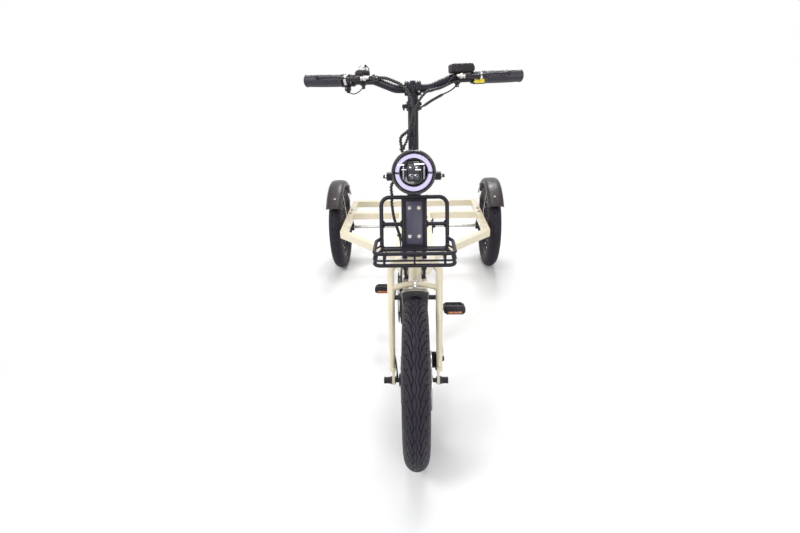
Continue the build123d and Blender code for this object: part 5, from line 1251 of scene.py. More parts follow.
# ---- Cables ----
loom_upper = [(-0.088, -0.3253, 0.9799), (-0.07, -0.335, 0.978), (-0.05, -0.348, 0.971),
    (-0.03, -0.36, 0.962), (-0.012, -0.369, 0.945), (-0.002, -0.379, 0.922),
    (0.002, -0.388, 0.895), (0.0, -0.396, 0.867), (-0.014, -0.401, 0.85), (-0.034, -0.388, 0.83),
    (-0.031, -0.396, 0.8)]
loom_bend = [(-0.031, -0.396, 0.8), (-0.028, -0.404, 0.77), (-0.042, -0.424, 0.74),
    (-0.06, -0.442, 0.716), (-0.06, -0.45, 0.69)]
loom_lower = [(-0.06, -0.45, 0.69), (-0.06, -0.458, 0.664), (-0.056, -0.464, 0.634),
    (-0.048, -0.465, 0.604), (-0.041, -0.456, 0.576), (-0.036, -0.44, 0.546),
    (-0.034, -0.424, 0.514)]
screen_lead = [(0.1228, -0.3158, 0.9602), (0.104, -0.328, 0.945), (0.078, -0.34, 0.934),
    (0.05, -0.352, 0.921), (0.032, -0.362, 0.911), (0.016, -0.3667, 0.903)]
loom_radius = 0.0046
wrap = (0.0078, 0.0018)
strand = 0.0021


def even(points, step):
    """Points at equal steps along a smooth curve through the route."""
    line = eased(points, 24)
    out = [line[0]]
    left = step
    for a, b in zip(line, line[1:]):
        run = (b - a).length
        done = 0.0
        while run - done >= left:
            done += left
            out.append(a + (b - a) * (done / run))
            left = step
        left -= run - done
    if (out[-1] - line[-1]).length > step * 0.3:
        out.append(line[-1])
    return out


def tie(kit, where, radius, mat):
    """A zip tie with its head."""
    kit.lathe([(radius, -0.0016), (radius + 0.001, -0.0014), (radius + 0.001, 0.0014),
        (radius, 0.0016)], where, mat, 24)
    kit.block((0.003, 0.0048, 0.004), where @ shift(radius + 0.001, 0, 0), mat, 0.0008)


# The whole loom is one smooth run, cut where it passes from body to body.
whole = loom_upper + loom_bend[1:] + loom_lower[1:]
smooth = even(whole, 0.0008)
upper_end = min(range(len(smooth)), key=lambda i: (smooth[i] - Vector(loom_bend[0])).length)
bend_end = min(range(len(smooth)), key=lambda i: (smooth[i] - Vector(loom_bend[-1])).length)

kit = Kit(wrap_sheath, sheath)
kit.tube(smooth[:upper_end + 1], loom_radius, wrap_sheath, 18, spiral=wrap)
kit.tube([smooth[0] + (smooth[0] - smooth[6]) * 1.5, smooth[0], smooth[6]],
    [0.0018, 0.0036, 0.0038], sheath, 14)
second = [tuple(on_bar(1, 0.205, 0.014, -0.005)), tuple(on_bar(1, 0.222, 0.015, -0.008)),
    (0.074, -0.346, 0.952), (0.052, -0.356, 0.948), (0.036, -0.367, 0.944),
    (0.0215, -0.378, 0.931), (0.011, -0.388, 0.915), (0.001, -0.396, 0.897),
    (-0.006, -0.402, 0.874), (-0.011, -0.408, 0.85), (-0.017, -0.41, 0.828),
    (-0.0245, -0.406, 0.812), (-0.029, -0.4, 0.801)]
line = even(second, 0.001)
plain = int(len(line) * 0.42)
kit.tube(line[:plain + 1], 0.0034, sheath, 14)
kit.tube(line[plain:], 0.0039, wrap_sheath, 16, spiral=wrap)
tie(kit, at(smooth[upper_end - 3], smooth[upper_end] - smooth[upper_end - 8], X), 0.0062, sheath)
kit.build("loom_upper_wrap", "steering", 60, ("steering_cables",))

kit = Kit(wrap_sheath)
kit.tube(smooth[upper_end:bend_end + 1], loom_radius, wrap_sheath, 18, spiral=wrap)
piece = kit.build("loom_bend_wrap", None, 60, ("loom_bend",))
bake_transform(piece)

kit = Kit(wrap_sheath, sheath)
lower = smooth[bend_end:]
ridged = int(len(lower) * 0.16)
kit.tube(lower[:ridged + 1], loom_radius, wrap_sheath, 18, spiral=wrap)
for index in range(3):
    line = []
    for k, p in enumerate(lower[ridged - 4:]):
        t = k / (len(lower) - ridged + 3)
        a = 2 * pi * index / 3 + 1.6 * t
        spread = 0.0023 + 0.003 * ramp(t, 0.55, 1.0)
        if index == 2:
            spread *= 1 - 0.4 * ramp(t, 0.6, 1.0)
        line.append(p + X * spread * cos(a) + Y * spread * sin(a))
    kit.tube(line[::3], strand, sheath, 10)
knot = int(len(lower) * 0.62)
tie(kit, at(lower[knot], lower[knot + 4] - lower[knot], X * -1), 0.005, sheath)
kit.build("loom_lower_wrap", "frame", 60, ("loom_lower",))

kit = Kit(sheath)
line = even(screen_lead, 0.002)
sizes = []
for k in range(len(line)):
    t = k / (len(line) - 1)
    sizes.append(0.0018 + 0.0018 * ramp(t, 0.4, 0.44) * (1 - ramp(t, 0.84, 0.96)))
kit.tube(line, sizes, sheath, 14)
kit.tube(even([on_bar(-1, 0.218, 0.0222, 0.0075), on_bar(-1, 0.23, 0.019, 0.015),
    (-0.104, -0.328, 0.985), (-0.095, -0.327, 0.984), (-0.087, -0.3262, 0.9798)], 0.002), 0.0016,
    sheath, 10)
kit.tube(even([on_bar(-1, 0.14, 0.004, -0.03), on_bar(-1, 0.156, 0.006, -0.0345),
    on_bar(-1, 0.175, 0.01, -0.029), on_bar(-1, 0.192, 0.015, -0.017),
    on_bar(-1, 0.206, 0.018, -0.004), (-0.101, -0.33, 0.972), (-0.087, -0.329, 0.978)], 0.002),
    0.0015, sheath, 10)
kit.tube(even([on_bar(1, 0.218, 0.0222, 0.0075), on_bar(1, 0.224, 0.019, 0.006),
    on_bar(1, 0.23, 0.016, -0.002), (0.086, -0.34, 0.956)], 0.002), 0.0016, sheath, 10)
kit.build("thin_cables", "steering", 60)

# ---- Frame: seat tube, welds, headset and bolts ----
seat_back = X.cross(seat_axis) * -1
bracket = Vector((0, crank_hub.y, crank_hub.z))


def seat(x, back, up):
    """A point of the seat tube's frame: x, behind it and up along it."""
    return bracket + X * x + seat_back * back + seat_axis * up


kit = Kit(ivory, satin, zinc, dark_steel)
post = at(bracket, seat_axis, X)
kit.lathe([(0.018, 0.015), (0.018, 0.2665)], post, ivory, 48)
kit.lathe([(0.018, 0.266), (0.0212, 0.2665), (0.022, 0.2675), (0.022, 0.273), (0.0212, 0.2738),
    (0.0212, 0.2758), (0.022, 0.2766), (0.022, 0.283), (0.0212, 0.284), (0.014, 0.2842),
    (0.0138, 0.26)], post, satin, 48)
kit.block((0.009, 0.011, 0.013), post @ shift(0.0235, 0, 0.2755), satin, 0.002)
clamp_up = 0.276
pivot = seat(0.0255, 0, clamp_up)
kit.lathe([(0, 0), (0.0055, 0), (0.006, 0.001), (0.006, 0.013), (0.0052, 0.014), (0, 0.0142)],
    at(pivot, X), satin, 24)
kit.bolt(at(pivot + X * 0.0142, X), 0.0034, 0.0016, zinc, dark_steel)
lever = eased([pivot + Vector(p) for p in ((0.01, -0.004, 0.002), (0.012, 0.012, 0.0),
    (0.015, 0.03, -0.004), (0.0185, 0.048, -0.008))], 6)
kit.tube(lever, [0.006 - 0.0022 * sin(pi * k / (len(lever) - 1)) for k in range(len(lever))],
    satin, 14, flat=0.55, up=X)
kit.bolt(at(seat(-0.022, 0, clamp_up), X * -1), 0.0042, 0.003, zinc, dark_steel)
kit.build("seat_tube_shaped", "frame", 35, ("seat_tube",))

kit = Kit(ivory)
knee = steer(0, 0.096, 0.29)
low = Vector((0, bracket.y - 0.096, bracket.z + 0.042))
path_down = (low - knee).normalized()
mouth = (steer(0, 0.0196, 0.378) + steer(0, 0.019, 0.38)) / 2
weld(kit, mouth, knee - steer(0, 0, 0.4), 0.0213, ivory, 0.0016)
for up in (0.39, 0.465):
    for side in (-1, 1):
        weld(kit, steer(side * 0.0124, -0.0172, up), steer_back, 0.007, ivory, 0.001)
weld(kit, seat(0, 0, 0.0215), seat_axis, 0.0182, ivory, 0.0014)
for side in (-1, 1):
    kit.lathe([(0.0195, 0.0), (0.0206, 0.0006), (0.0212, 0.0018), (0.0206, 0.0028)],
        at(bracket + X * side * 0.0312, X * side), ivory, 40)
deck_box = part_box("load_deck")
deck_top = deck_box[1][2]
deck_low = deck_top - 0.032
deck_half = deck_box[1][0]
deck_rear = deck_box[1][1]
cross_y = (0.619, 0.649)
for side in (-1, 1):
    inner = side * (deck_half - 0.03)
    for y in cross_y + (deck_rear - 0.03,):
        bead(kit, (inner, y, deck_low + 0.001), (inner, y, deck_top - 0.001), ivory)
    bead(kit, (inner, cross_y[0] + 0.001, deck_top), (inner, cross_y[1] - 0.001, deck_top), ivory,
        0.001)
    bead(kit, (inner, deck_rear - 0.029, deck_top), (inner, deck_rear - 0.001, deck_top), ivory,
        0.001)
    for y in (0.067, 0.097):
        bead(kit, (side * 0.0802, y, deck_low + 0.001), (side * 0.0802, y, deck_top - 0.003),
            ivory)
    for x in (0.06, 0.08):
        bead(kit, (side * x, cross_y[0], deck_low + 0.002),
            (side * x, cross_y[0], deck_top - 0.004), ivory)
    for x in (0.0605, 0.0795):
        bead(kit, (side * x, cross_y[0] - 0.0004, deck_top - 0.003), (side * x, cross_y[0] - 0.012,
            deck_top - 0.003), ivory, 0.0009)
kit.build("frame_welds", "frame", 50)

kit = Kit(satin, zinc)
for low_up, high_up in ((0.3345, 0.342), (0.482, 0.4895)):
    flip = 1 if low_up < 0.4 else -1
    base = at(steer(0, 0, (low_up + high_up) / 2), steer_axis * flip, X)
    kit.lathe([(0.015, -0.0037), (0.0215, -0.0037), (0.0228, -0.0028), (0.023, -0.0016),
        (0.0226, -0.0006), (0.023, 0.0002), (0.0224, 0.002), (0.0206, 0.0034), (0.015, 0.0036)],
        base, satin, 48)
    kit.lathe([(0.015, -0.004), (0.019, -0.0041), (0.0196, -0.0037)], base, zinc, 48)
kit.build("headset_shaped", "frame", 35, ("headset_cups",))

kit = Kit(zinc, dark_steel, plastic)
axle_z = rear_hub.z
bolt_y = (0.627, 0.687)
block_x = 0.335
for side in (-1, 1):
    for y in bolt_y:
        kit.bolt(at((side * block_x, y, deck_top), Z), 0.0052, 0.0036, zinc, dark_steel,
            washer=1.6)
    kit.block((0.027, 0.0018, 0.029), at((side * (deck_half - 0.015), deck_rear + 0.0008, deck_top
        - 0.016)), plastic, 0.0008)
    for x in (0.045, 0.065):
        kit.bolt(at((side * x, 0.56, deck_top - 0.0002), Z), 0.003, 0.0016, zinc, dark_steel)
end = knee + path_down * 0.04
for side in (-1, 1):
    kit.bolt(at(end + X * side * 0.0318, X * side), 0.0056, 0.0038, zinc, dark_steel, washer=1.5)
kit.build("frame_bolts", "frame", 35)

# ---- Rear axle, bearings, drum brake ----

kit = Kit(plastic, zinc)
for side in (-1, 1):
    centre = Vector((side * block_x, rear_hub.y, axle_z))
    where = at(centre, X * side, Z)
    kit.lathe([(0.009, -0.0105), (0.0125, -0.0108), (0.013, -0.0098), (0.0172, -0.01),
        (0.0192, -0.0096), (0.02, -0.008), (0.02, 0.008), (0.0192, 0.0096), (0.0172, 0.01),
        (0.013, 0.0098), (0.0125, 0.0108), (0.009, 0.0105)], where, plastic, 48)
    kit.lathe([(0.0126, 0.0099), (0.017, 0.0101)], where, zinc, 40)
    kit.block((0.014, 0.034, 0.044), at(centre + Z * 0.028), plastic, 0.003, 3)
    kit.block((0.022, 0.074, 0.006), at((centre.x, centre.y, deck_low - 0.0031)), plastic, 0.0022,
        3)
    for lean in (-1, 1):
        kit.prism([(0.0, 0.0), (0.022, 0.0), (0.0, 0.024)], 0.005, at(centre +
            Vector((lean * 0.0025, lean * 0.0165, 0.047)), X * -lean, Y * lean), plastic)
    for y in bolt_y:
        kit.nut(at((side * block_x, y, deck_low - 0.0061), Z * -1), 0.0062, 0.0048, zinc)
    kit.tube([centre + Vector((0, -0.019, 0.006)), centre + Vector((0, -0.025, 0.009))],
        [0.0026, 0.0018], zinc, 10)
kit.build("bearing_blocks", "frame", 35, ("axle_bearings",))

kit = Kit(zinc, brushed)
where = at((0, rear_hub.y, axle_z), X, Z)
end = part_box("rear_axle")[1][0]
for side in (-1, 1):
    half = [(0.0085, side * x) for x in (0.0, 0.0985, 0.32)]
    half += [(0.0083, side * 0.321), (0.0085, side * 0.322), (0.0085, side * 0.419)]
    kit.lathe(half, where, zinc, 32)
    side_frame = at((side * (end - 0.0105), rear_hub.y, axle_z), X * side, Z)
    kit.lathe([(0.0085, -0.0018), (0.015, -0.0018), (0.0152, -0.001), (0.015, 0.0),
        (0.0085, 0.0002)], side_frame, brushed, 32)
    kit.nut(side_frame, 0.013, 0.007, brushed)
    kit.lathe([(0.0085, 0.0066), (0.0085, 0.0092), (0.0076, 0.0104), (0, 0.0105)], side_frame,
        zinc, 24)
kit.build("rear_axle_shaped", "rear_axle", 35, ("rear_axle",))

kit = Kit(zinc, dark_steel)
drum = at((0.063, rear_hub.y, axle_z), X, Z)
kit.lathe([(0.0087, 0.0), (0.016, 0.0), (0.018, 0.0015), (0.0185, 0.0045), (0.038, 0.006),
    (0.043, 0.0075), (0.0448, 0.01), (0.045, 0.0125), (0.044, 0.013), (0.044, 0.015),
    (0.045, 0.0155), (0.045, 0.018), (0.044, 0.0185), (0.044, 0.0205), (0.045, 0.021),
    (0.045, 0.0275), (0.0436, 0.028), (0.04, 0.028), (0.0395, 0.0265), (0.0087, 0.0265)], drum,
    zinc, 72)
for a in turns(6):
    kit.bolt(drum @ Matrix.Translation(polar(0.029, a, 0.0054)) @ turned((0, 0, -1)), 0.003,
        0.0022, dark_steel)
kit.build("drum_shaped", "rear_axle", 35, ("brake_drum",))

kit = Kit(satin, zinc)
back = at((0.094, rear_hub.y, axle_z), X, Z)
kit.lathe([(0.011, 0.0), (0.0425, 0.0), (0.043, 0.0008), (0.043, 0.003), (0.04, 0.004),
    (0.03, 0.004), (0.028, 0.005), (0.02, 0.005), (0.018, 0.0042), (0.011, 0.0042)], back, satin,
    64)
kit.block((0.005, 0.022, 0.053), at((0.0965, 0.634, (axle_z + deck_low) / 2)), satin, 0.002)
kit.block((0.013, 0.028, 0.014), at((0.103, rear_hub.y - 0.026, axle_z + 0.008)), satin, 0.004, 3)
kit.bolt(at((0.099, 0.634, deck_low - 0.01), X), 0.0046, 0.0032, zinc, washer=1.5)
kit.lathe([(0.0, 0.0), (0.006, 0.0), (0.0062, 0.006), (0.005, 0.008), (0, 0.0082)],
    at((0.099, rear_hub.y + 0.022, axle_z - 0.012), X), zinc, 24)
arm = [Vector((0.1055, rear_hub.y + 0.022, axle_z - 0.012)),
    Vector((0.106, rear_hub.y + 0.008, axle_z + 0.004)),
    Vector((0.106, rear_hub.y - 0.01, axle_z + 0.018))]
kit.tube(eased(arm, 6), 0.0046, zinc, 12, flat=0.45, up=X)
kit.build("brake_plate", "frame", 35, ("brake_anchor",))

# ---- Rear fenders ----
rear_guard_width = 0.0775

kit = Kit(fender_plastic, zinc, dark_steel)
for side, hub in ((1, left_hub), (-1, right_hub)):
    mudguard(kit, hub, crowned(rear_guard_width, top=0.2494, drop=0.0252, power=3.4), ahead=50.0,
        behind=58.0, corner=0.02, thick=0.0022, border=0.0014)
    for lean in (38.0, -44.0):
        a = radians(lean)
        spot = at(polar(0.2494, a, -side * 0.006), polar(1, a), Z)
        kit.bolt(round_wheel(hub) @ spot, 0.0044, 0.0022, zinc, dark_steel, washer=1.5)
    for lean in (30.0, -35.0):
        a = radians(lean)
        spot = polar(0.231, a, -side * (rear_guard_width / 2 + 0.0004))
        clip = round_wheel(hub) @ at(spot, (0, 0, -side), polar(1, a))
        kit.block((0.013, 0.0085, 0.0034), clip, fender_plastic, 0.0012)
        kit.bolt(clip @ shift(0.0, 0.0, 0.0016), 0.0024, 0.0014, zinc, dark_steel)
kit.build("fenders_rear", "frame", 40, ("rear_fenders",))

# ---- Chain, chainring and sprocket ----
link_pitch = 0.0127
ring_x = -0.048
ring_teeth, cog_teeth = 44, 20
ring_radius = link_pitch / 2 / sin(pi / ring_teeth)
cog_radius = link_pitch / 2 / sin(pi / cog_teeth)


def toothed(kit, teeth, pitch_radius, bore, thickness, where, mat):
    """A flat ring with chain teeth round its edge."""
    steps = 8
    count = teeth * steps
    heights = (-0.0038, -0.0036, -0.002, 0.0012, 0.0034, 0.0034, 0.0012, -0.002)
    verts = []
    for level in (-thickness / 2, thickness / 2):
        for i in range(count):
            a = 2 * pi * i / count
            r = pitch_radius + heights[i % steps]
            verts += [(r * cos(a), r * sin(a), level), (bore * cos(a), bore * sin(a), level)]
    faces = []
    top = 2 * count
    for i in range(count):
        j = (i + 1) % count
        a, b, c, d = 2 * i, 2 * j, 2 * j + 1, 2 * i + 1
        faces += [(a, b, c, d), (d + top, c + top, b + top, a + top), (a, a + top, b + top, b),
            (d, c, c + top, d + top)]
    kit.add(verts, faces, mat, where)


kit = Kit(satin, spoke_steel, zinc, dark_steel)
where = at((ring_x, bracket.y, bracket.z), X * -1, Z)
toothed(kit, ring_teeth, ring_radius, 0.07, 0.0026, where, spoke_steel)
kit.lathe([(0.0092, -0.012), (0.016, -0.012), (0.017, -0.01), (0.017, 0.004), (0.015, 0.009),
    (0.0092, 0.01)], where, satin, 40)
for a in turns(5, 0.35 * 5 / (2 * pi)):
    arm = [where @ polar(r, a, h) for r, h in ((0.012, 0.003), (0.03, 0.0032), (0.052, 0.003),
        (0.0735, 0.0024))]
    kit.tube(arm, [0.012, 0.0085, 0.0066, 0.0078], satin, 12, flat=0.28, up=X)
    spot = where @ Matrix.Translation(polar(0.0735, a, 0.0013))
    kit.lathe([(0.003, 0.0), (0.0058, 0.0), (0.006, 0.0025), (0.0048, 0.0034), (0, 0.0034)], spot,
        zinc, 20)
    post = where @ Matrix.Translation(polar(0.0745, a + 0.3, 0.0012))
    kit.lathe([(0.004, 0.0), (0.004, 0.008)], post, satin, 16)
    kit.bolt(post @ shift(0, 0, 0.011), 0.003, 0.0012, zinc, dark_steel)
kit.lathe([(0.066, 0.0092), (0.0672, 0.0088), (0.088, 0.0088), (0.0896, 0.0092), (0.09, 0.01),
    (0.0894, 0.0108), (0.0878, 0.0112), (0.0672, 0.0112), (0.066, 0.0108)], where, satin, 128,
    closed=True)
kit.build("chainring_shaped", "crank", 35, ("chainring",))

kit = Kit(zinc, dark_steel)
where = at((ring_x, rear_hub.y, axle_z), X * -1, Z)
toothed(kit, cog_teeth, cog_radius, 0.015, 0.0026, where, zinc)
kit.lathe([(0.0087, -0.01), (0.0145, -0.01), (0.0158, -0.0088), (0.016, 0.0075), (0.015, 0.009),
    (0.012, 0.0098), (0.0087, 0.01)], where, dark_steel, 40)
for a in turns(8):
    kit.tube([where @ polar(0.016, a, h) for h in (-0.006, -0.004, 0.004, 0.006)],
        [0.0004, 0.0012, 0.0012, 0.0004], dark_steel, 6)
kit.build("sprocket_shaped", "rear_axle", 35, ("rear_sprocket",))

kit = Kit(spoke_steel, dark_steel)
front_y, front_z, back_y, back_z = bracket.y, bracket.z, rear_hub.y, axle_z
span = hypot(back_y - front_y, back_z - front_z)
slope = atan2(back_z - front_z, back_y - front_y)
lean = acos((ring_radius - cog_radius) / span)
run = sqrt(span ** 2 - (ring_radius - cog_radius) ** 2)
front_arc = ring_radius * (2 * pi - 2 * lean)
rear_arc = cog_radius * 2 * lean
loop = 2 * run + front_arc + rear_arc
links = 2 * round(loop / link_pitch / 2)


def ring_spot(angle):
    """A point of the chainring's pitch circle."""
    return Vector((0, front_y + ring_radius * cos(angle), front_z + ring_radius * sin(angle)))


def cog_spot(angle):
    """A point of the sprocket's pitch circle."""
    return Vector((0, back_y + cog_radius * cos(angle), back_z + cog_radius * sin(angle)))


def chain_spot(s):
    """The place along the chain's loop, in Y and Z."""
    s %= loop
    if s < run:
        return ring_spot(slope + lean).lerp(cog_spot(slope + lean), s / run)
    s -= run
    if s < rear_arc:
        return cog_spot(slope + lean - s / cog_radius)
    s -= rear_arc
    if s < run:
        return ring_spot(slope - lean).lerp(cog_spot(slope - lean), 1 - s / run)
    return ring_spot(slope - lean - (s - run) / ring_radius)


pins = [chain_spot(loop * k / links) for k in range(links)]
plate_half = 0.0042
plate_thickness = 0.001
for k in range(links):
    a, b = pins[k], pins[(k + 1) % links]
    middle = (a + b) / 2
    along = (b - a).normalized()
    half = (b - a).length / 2
    outline = []
    for start in (-1, 1):
        for step in range(5):
            turn = pi * (step / 4 - 0.5)
            outline.append((-start * (half + plate_half * cos(turn)), -start * plate_half *
                sin(turn)))
    outer = 0.0021 if k % 2 else 0.0031
    for side in (-1, 1):
        x = ring_x + side * outer - plate_thickness / 2
        where = at((x, middle.y, middle.z), X, along)
        kit.prism(outline, plate_thickness, where, spoke_steel)
    roller = at((ring_x - 0.0018, a.y, a.z), X, along)
    kit.lathe([(0, 0), (0.0038, 0), (0.0038, 0.0036), (0, 0.0036)], roller, dark_steel, 8)
    pin = at((ring_x - 0.0036, a.y, a.z), X, along)
    kit.lathe([(0, 0), (0.0016, 0), (0.0016, 0.0072), (0, 0.0072)], pin, dark_steel, 6)
kit.build("chain_links", "frame", 35, ("chain",))

# ---- Cranks and pedals ----
crank_reach = 0.165
crank_out = 0.078
pedal_out = 0.123
crank_lift = radians(15.8)
crank_step = Vector((0, -cos(crank_lift), sin(crank_lift)))

kit = Kit(satin, zinc, plastic)
kit.lathe([(0.0088, -crank_out), (0.0088, crank_out)], at(bracket, X), plastic, 24)
for side in (-1, 1):
    along = crank_step * side
    base = bracket + X * side * crank_out
    line = [base + along * d for d in (-0.012, -0.006, 0.0, 0.014, 0.04, 0.08, 0.12, 0.15, 0.165,
        0.171, 0.1745)]
    kit.tube(line, [0.005, 0.0115, 0.0135, 0.013, 0.0112, 0.0102, 0.0096, 0.01, 0.01, 0.0082,
        0.0036], satin, 20, flat=0.6, up=X)
    kit.lathe([(0.0, 0.0), (0.01, 0.0), (0.0108, 0.001), (0.0108, 0.002), (0.009, 0.0028),
        (0, 0.003)], at(base + X * side * 0.0062, X * side), plastic, 28)
    tip = base + along * crank_reach
    kit.lathe([(0.006, 0.0), (0.0098, 0.0), (0.01, 0.001), (0.0092, 0.0018), (0.006, 0.0018)],
        at(tip + X * side * 0.0058, X * side), satin, 24)
    kit.lathe([(0.005, -0.007), (0.007, -0.006), (0.007, -0.0056)], at(tip, X * side), zinc, 24)
    kit.nut(at(tip + X * side * 0.0076, X * side), 0.0074, 0.0032, zinc)
    kit.lathe([(0.0055, 0.0), (0.0055, 0.012), (0.0048, 0.014), (0.0046, 0.07), (0, 0.0702)],
        at(tip + X * side * 0.0076, X * side), zinc, 20)
kit.build("cranks_shaped", "crank", 35, ("crank_arms",))

for side, word in ((1, "left"), (-1, "right")):
    tip = bracket + X * side * pedal_out + crank_step * side * crank_reach
    place = Matrix.Translation(tip) @ Matrix.Rotation(radians(-17.5), 4, "X")
    kit = Kit(plastic)
    wide, long, high, cut = 0.066, 0.066, 0.027, 0.008
    x, y = wide / 2, high / 2
    octagon = [(-x, cut - y), (cut - x, -y), (x - cut, -y), (x, cut - y), (x, y - cut),
        (x - cut, y), (cut - x, y), (-x, y - cut)]
    for end in (-1, 1):
        face = place @ shift(0, end * (long / 2 - 0.0045), 0)
        kit.prism(octagon, 0.0045, face @ turned(Y * end, X), plastic, bevel=0.001)
        for x in (-0.02, -0.0068, 0.0068, 0.02):
            kit.block((0.0085, 0.0016, 0.008), place @ shift(x, end * (long / 2 + 0.0002), 0.006),
                plastic, 0.0007)
        strip = place @ shift(0, end * (long / 2 + 0.0003), -0.0075)
        kit.block((0.048, 0.0016, 0.0105), strip, plastic, 0.0007)
    for x in (-0.03, 0.03):
        kit.block((0.006, long - 0.008, high - 0.01), place @ shift(x, 0, 0), plastic, 0.002, 3)
        for level in (-1, 1):
            for y in (-0.024, -0.012, 0.0, 0.012, 0.024):
                kit.block((0.007, 0.005, 0.003), place @ shift(x * 0.96, y, level * 0.0095),
                    plastic, 0.0009)
    for x in (-0.0125, 0.0125):
        kit.block((0.0036, long - 0.01, 0.017), place @ shift(x, 0, 0), plastic, 0.0012)
    for y in (-0.019, 0.019):
        kit.block((0.056, 0.004, 0.019), place @ shift(0, y, 0), plastic, 0.0012)
        for level in (-1, 1):
            for x in (-0.022, -0.011, 0.0, 0.011, 0.022):
                kit.block((0.004, 0.0052, 0.003), place @ shift(x, y, level * 0.01), plastic,
                    0.0009)
    barrel = place @ turned((side, 0, 0), (0, 0, 1))
    kit.lathe([(0.0064, -0.033), (0.0105, -0.033), (0.0112, -0.031), (0.0096, -0.026),
        (0.0092, 0.024), (0.011, 0.029), (0.011, 0.0318), (0.009, 0.033), (0.0, 0.033)], barrel,
        plastic, 28)
    kit.build("pedal_shaped_" + word, "pedal_" + word, 35, ("pedal_" + word,))
    kit = Kit(amber, plastic)
    for end in (-1, 1):
        lens_face = place @ shift(0, end * (long / 2 + 0.0012), -0.0075)
        kit.block((0.044, 0.0018, 0.0075), lens_face, amber, 0.0008)
        for x in (-0.0145, 0.0, 0.0145):
            kit.block((0.0135, 0.0006, 0.0066), lens_face @ shift(x, end * 0.001, 0), amber,
                0.0003)
        for x in (-0.0232, 0.0232):
            kit.block((0.002, 0.0024, 0.0085), lens_face @ shift(x, 0, 0), plastic, 0.0006)
    kit.build("reflectors_" + word, "pedal_" + word, 35, ("pedal_reflectors_" + word,))

# ---- Battery ----

kit = Kit(plastic, satin, zinc, dark_steel)
case_low, case_high = 0.092, 0.264
depth = 0.08
middle = seat(0, 0.0183 + depth / 2, (case_low + case_high) / 2)
case = at(middle, seat_axis, X)
tall = case_high - case_low
kit.block((0.086, depth, tall - 0.026), case @ shift(0, 0, -0.013), plastic, 0.01, 5)
kit.block((0.082, depth - 0.004, 0.03), case @ shift(0, 0, tall / 2 - 0.015), plastic, 0.008, 5)
kit.block((0.0864, depth + 0.0004, 0.0022), case @ shift(0, 0, tall / 2 - 0.03), satin, 0.001)
grip_path = eased([case @ Vector((x, 0.004, tall / 2 - 0.0006 + h)) for x, h in ((-0.03, -0.003),
    (-0.026, 0.006), (-0.014, 0.0095), (0.014, 0.0095), (0.026, 0.006), (0.03, -0.003))], 6)
kit.tube(grip_path, 0.006, plastic, 14, flat=0.7, up=tuple(seat_axis))
for side in (-1, 1):
    for z in (-0.055, -0.038, -0.021, -0.004, 0.013):
        kit.block((0.0016, depth * 0.62, 0.006), case @ shift(side * 0.043, 0.004, z), plastic,
            0.0007)
    kit.bolt(case @ shift(side * 0.043, -0.028, 0.035) @ turned((side, 0, 0)), 0.0028, 0.001, zinc,
        dark_steel)
for x in (-0.018, 0.0, 0.018):
    kit.block((0.005, 0.0016, tall * 0.52), case @ shift(x, depth / 2, -0.014), plastic, 0.0007)
lock = case @ shift(0.043, 0.012, 0.03) @ turned((1, 0, 0))
kit.lathe([(0.0, 0.0), (0.0085, 0.0), (0.0085, 0.0012), (0.007, 0.0016), (0.0062, 0.001),
    (0, 0.001)], lock, zinc, 28)
kit.block((0.0014, 0.005, 0.0012), lock @ shift(0, 0, 0.0012), dark_steel, 0.0004)
kit.block((0.03, 0.018, 0.01), case @ shift(0, -0.029, -tall / 2 + 0.004), satin, 0.003)
for z in (-0.06, 0.045):
    kit.lathe([(0.0183, -0.006), (0.02, -0.005), (0.0204, 0.0), (0.02, 0.005), (0.0183, 0.006)],
        at(seat(0, 0, (case_low + case_high) / 2 + z), seat_axis), satin, 36)
kit.build("battery_case", "frame", 40, ("battery",))

# ---- Seat post and saddle ----
saddle_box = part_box("saddle")
nose_y, tail_y = saddle_box[0][1], saddle_box[1][1]
saddle_low, saddle_high = saddle_box[0][2], saddle_box[1][2]
post_top = 0.372
top = seat(0, 0, post_top)

kit = Kit(zinc, satin, brushed)
kit.lathe([(0, 0.0842), (0.013, 0.0842), (0.0136, 0.085), (0.0136, 0.369), (0.012, post_top),
    (0, post_top)], at(bracket, seat_axis, X), zinc, 40)
for up in (0.3, 0.312, 0.324, 0.336):
    kit.lathe([(0.0137, -0.0003), (0.0138, 0.0), (0.0137, 0.0003)], at(seat(0, 0, up), seat_axis),
        brushed, 36)
kit.block((0.052, 0.034, 0.0055), at(top + Vector((0, 0.002, -0.0032))), satin, 0.002, 3)
kit.block((0.052, 0.034, 0.0055), at(top + Vector((0, 0.002, 0.0036))), satin, 0.002, 3)
kit.lathe([(0.0136, 0.342), (0.0175, 0.345), (0.0185, 0.35), (0.0185, 0.366), (0.017, 0.37),
    (0.0136, 0.3705)], at(bracket, seat_axis, X), satin, 40)
for y in (-0.009, 0.013):
    kit.bolt(at(top + Vector((0, y, -0.0062)), Z * -1), 0.0044, 0.004, brushed)
for side in (-1, 1):
    x = side * 0.02
    under = saddle_low - 0.0038
    rail_z = top.z + 0.006
    rail = eased([(x * 0.8, top.y - 0.098, under + 0.003), (x, top.y - 0.08, under),
        (x, top.y - 0.05, rail_z), (x, top.y - 0.01, rail_z), (x, top.y + 0.03, rail_z),
        (x, top.y + 0.048, rail_z), (x * 1.5, top.y + 0.078, under),
        (x * 1.6, top.y + 0.098, under + 0.003)], 6)
    kit.tube(rail, 0.0035, brushed, 12)
    spring_y = top.y + 0.085
    coil = []
    for k in range(61):
        a = 5 * 2 * pi * k / 60
        coil.append(Vector((side * 0.044 + 0.0095 * cos(a), spring_y + 0.0095 * sin(a), saddle_low
            - 0.026 + 0.0235 * k / 60)))
    kit.tube(coil, 0.0015, brushed, 6)
    kit.tube([(side * 0.03, spring_y, saddle_low - 0.0235), (side * 0.044, spring_y, saddle_low -
        0.0265)], 0.003, brushed, 8)
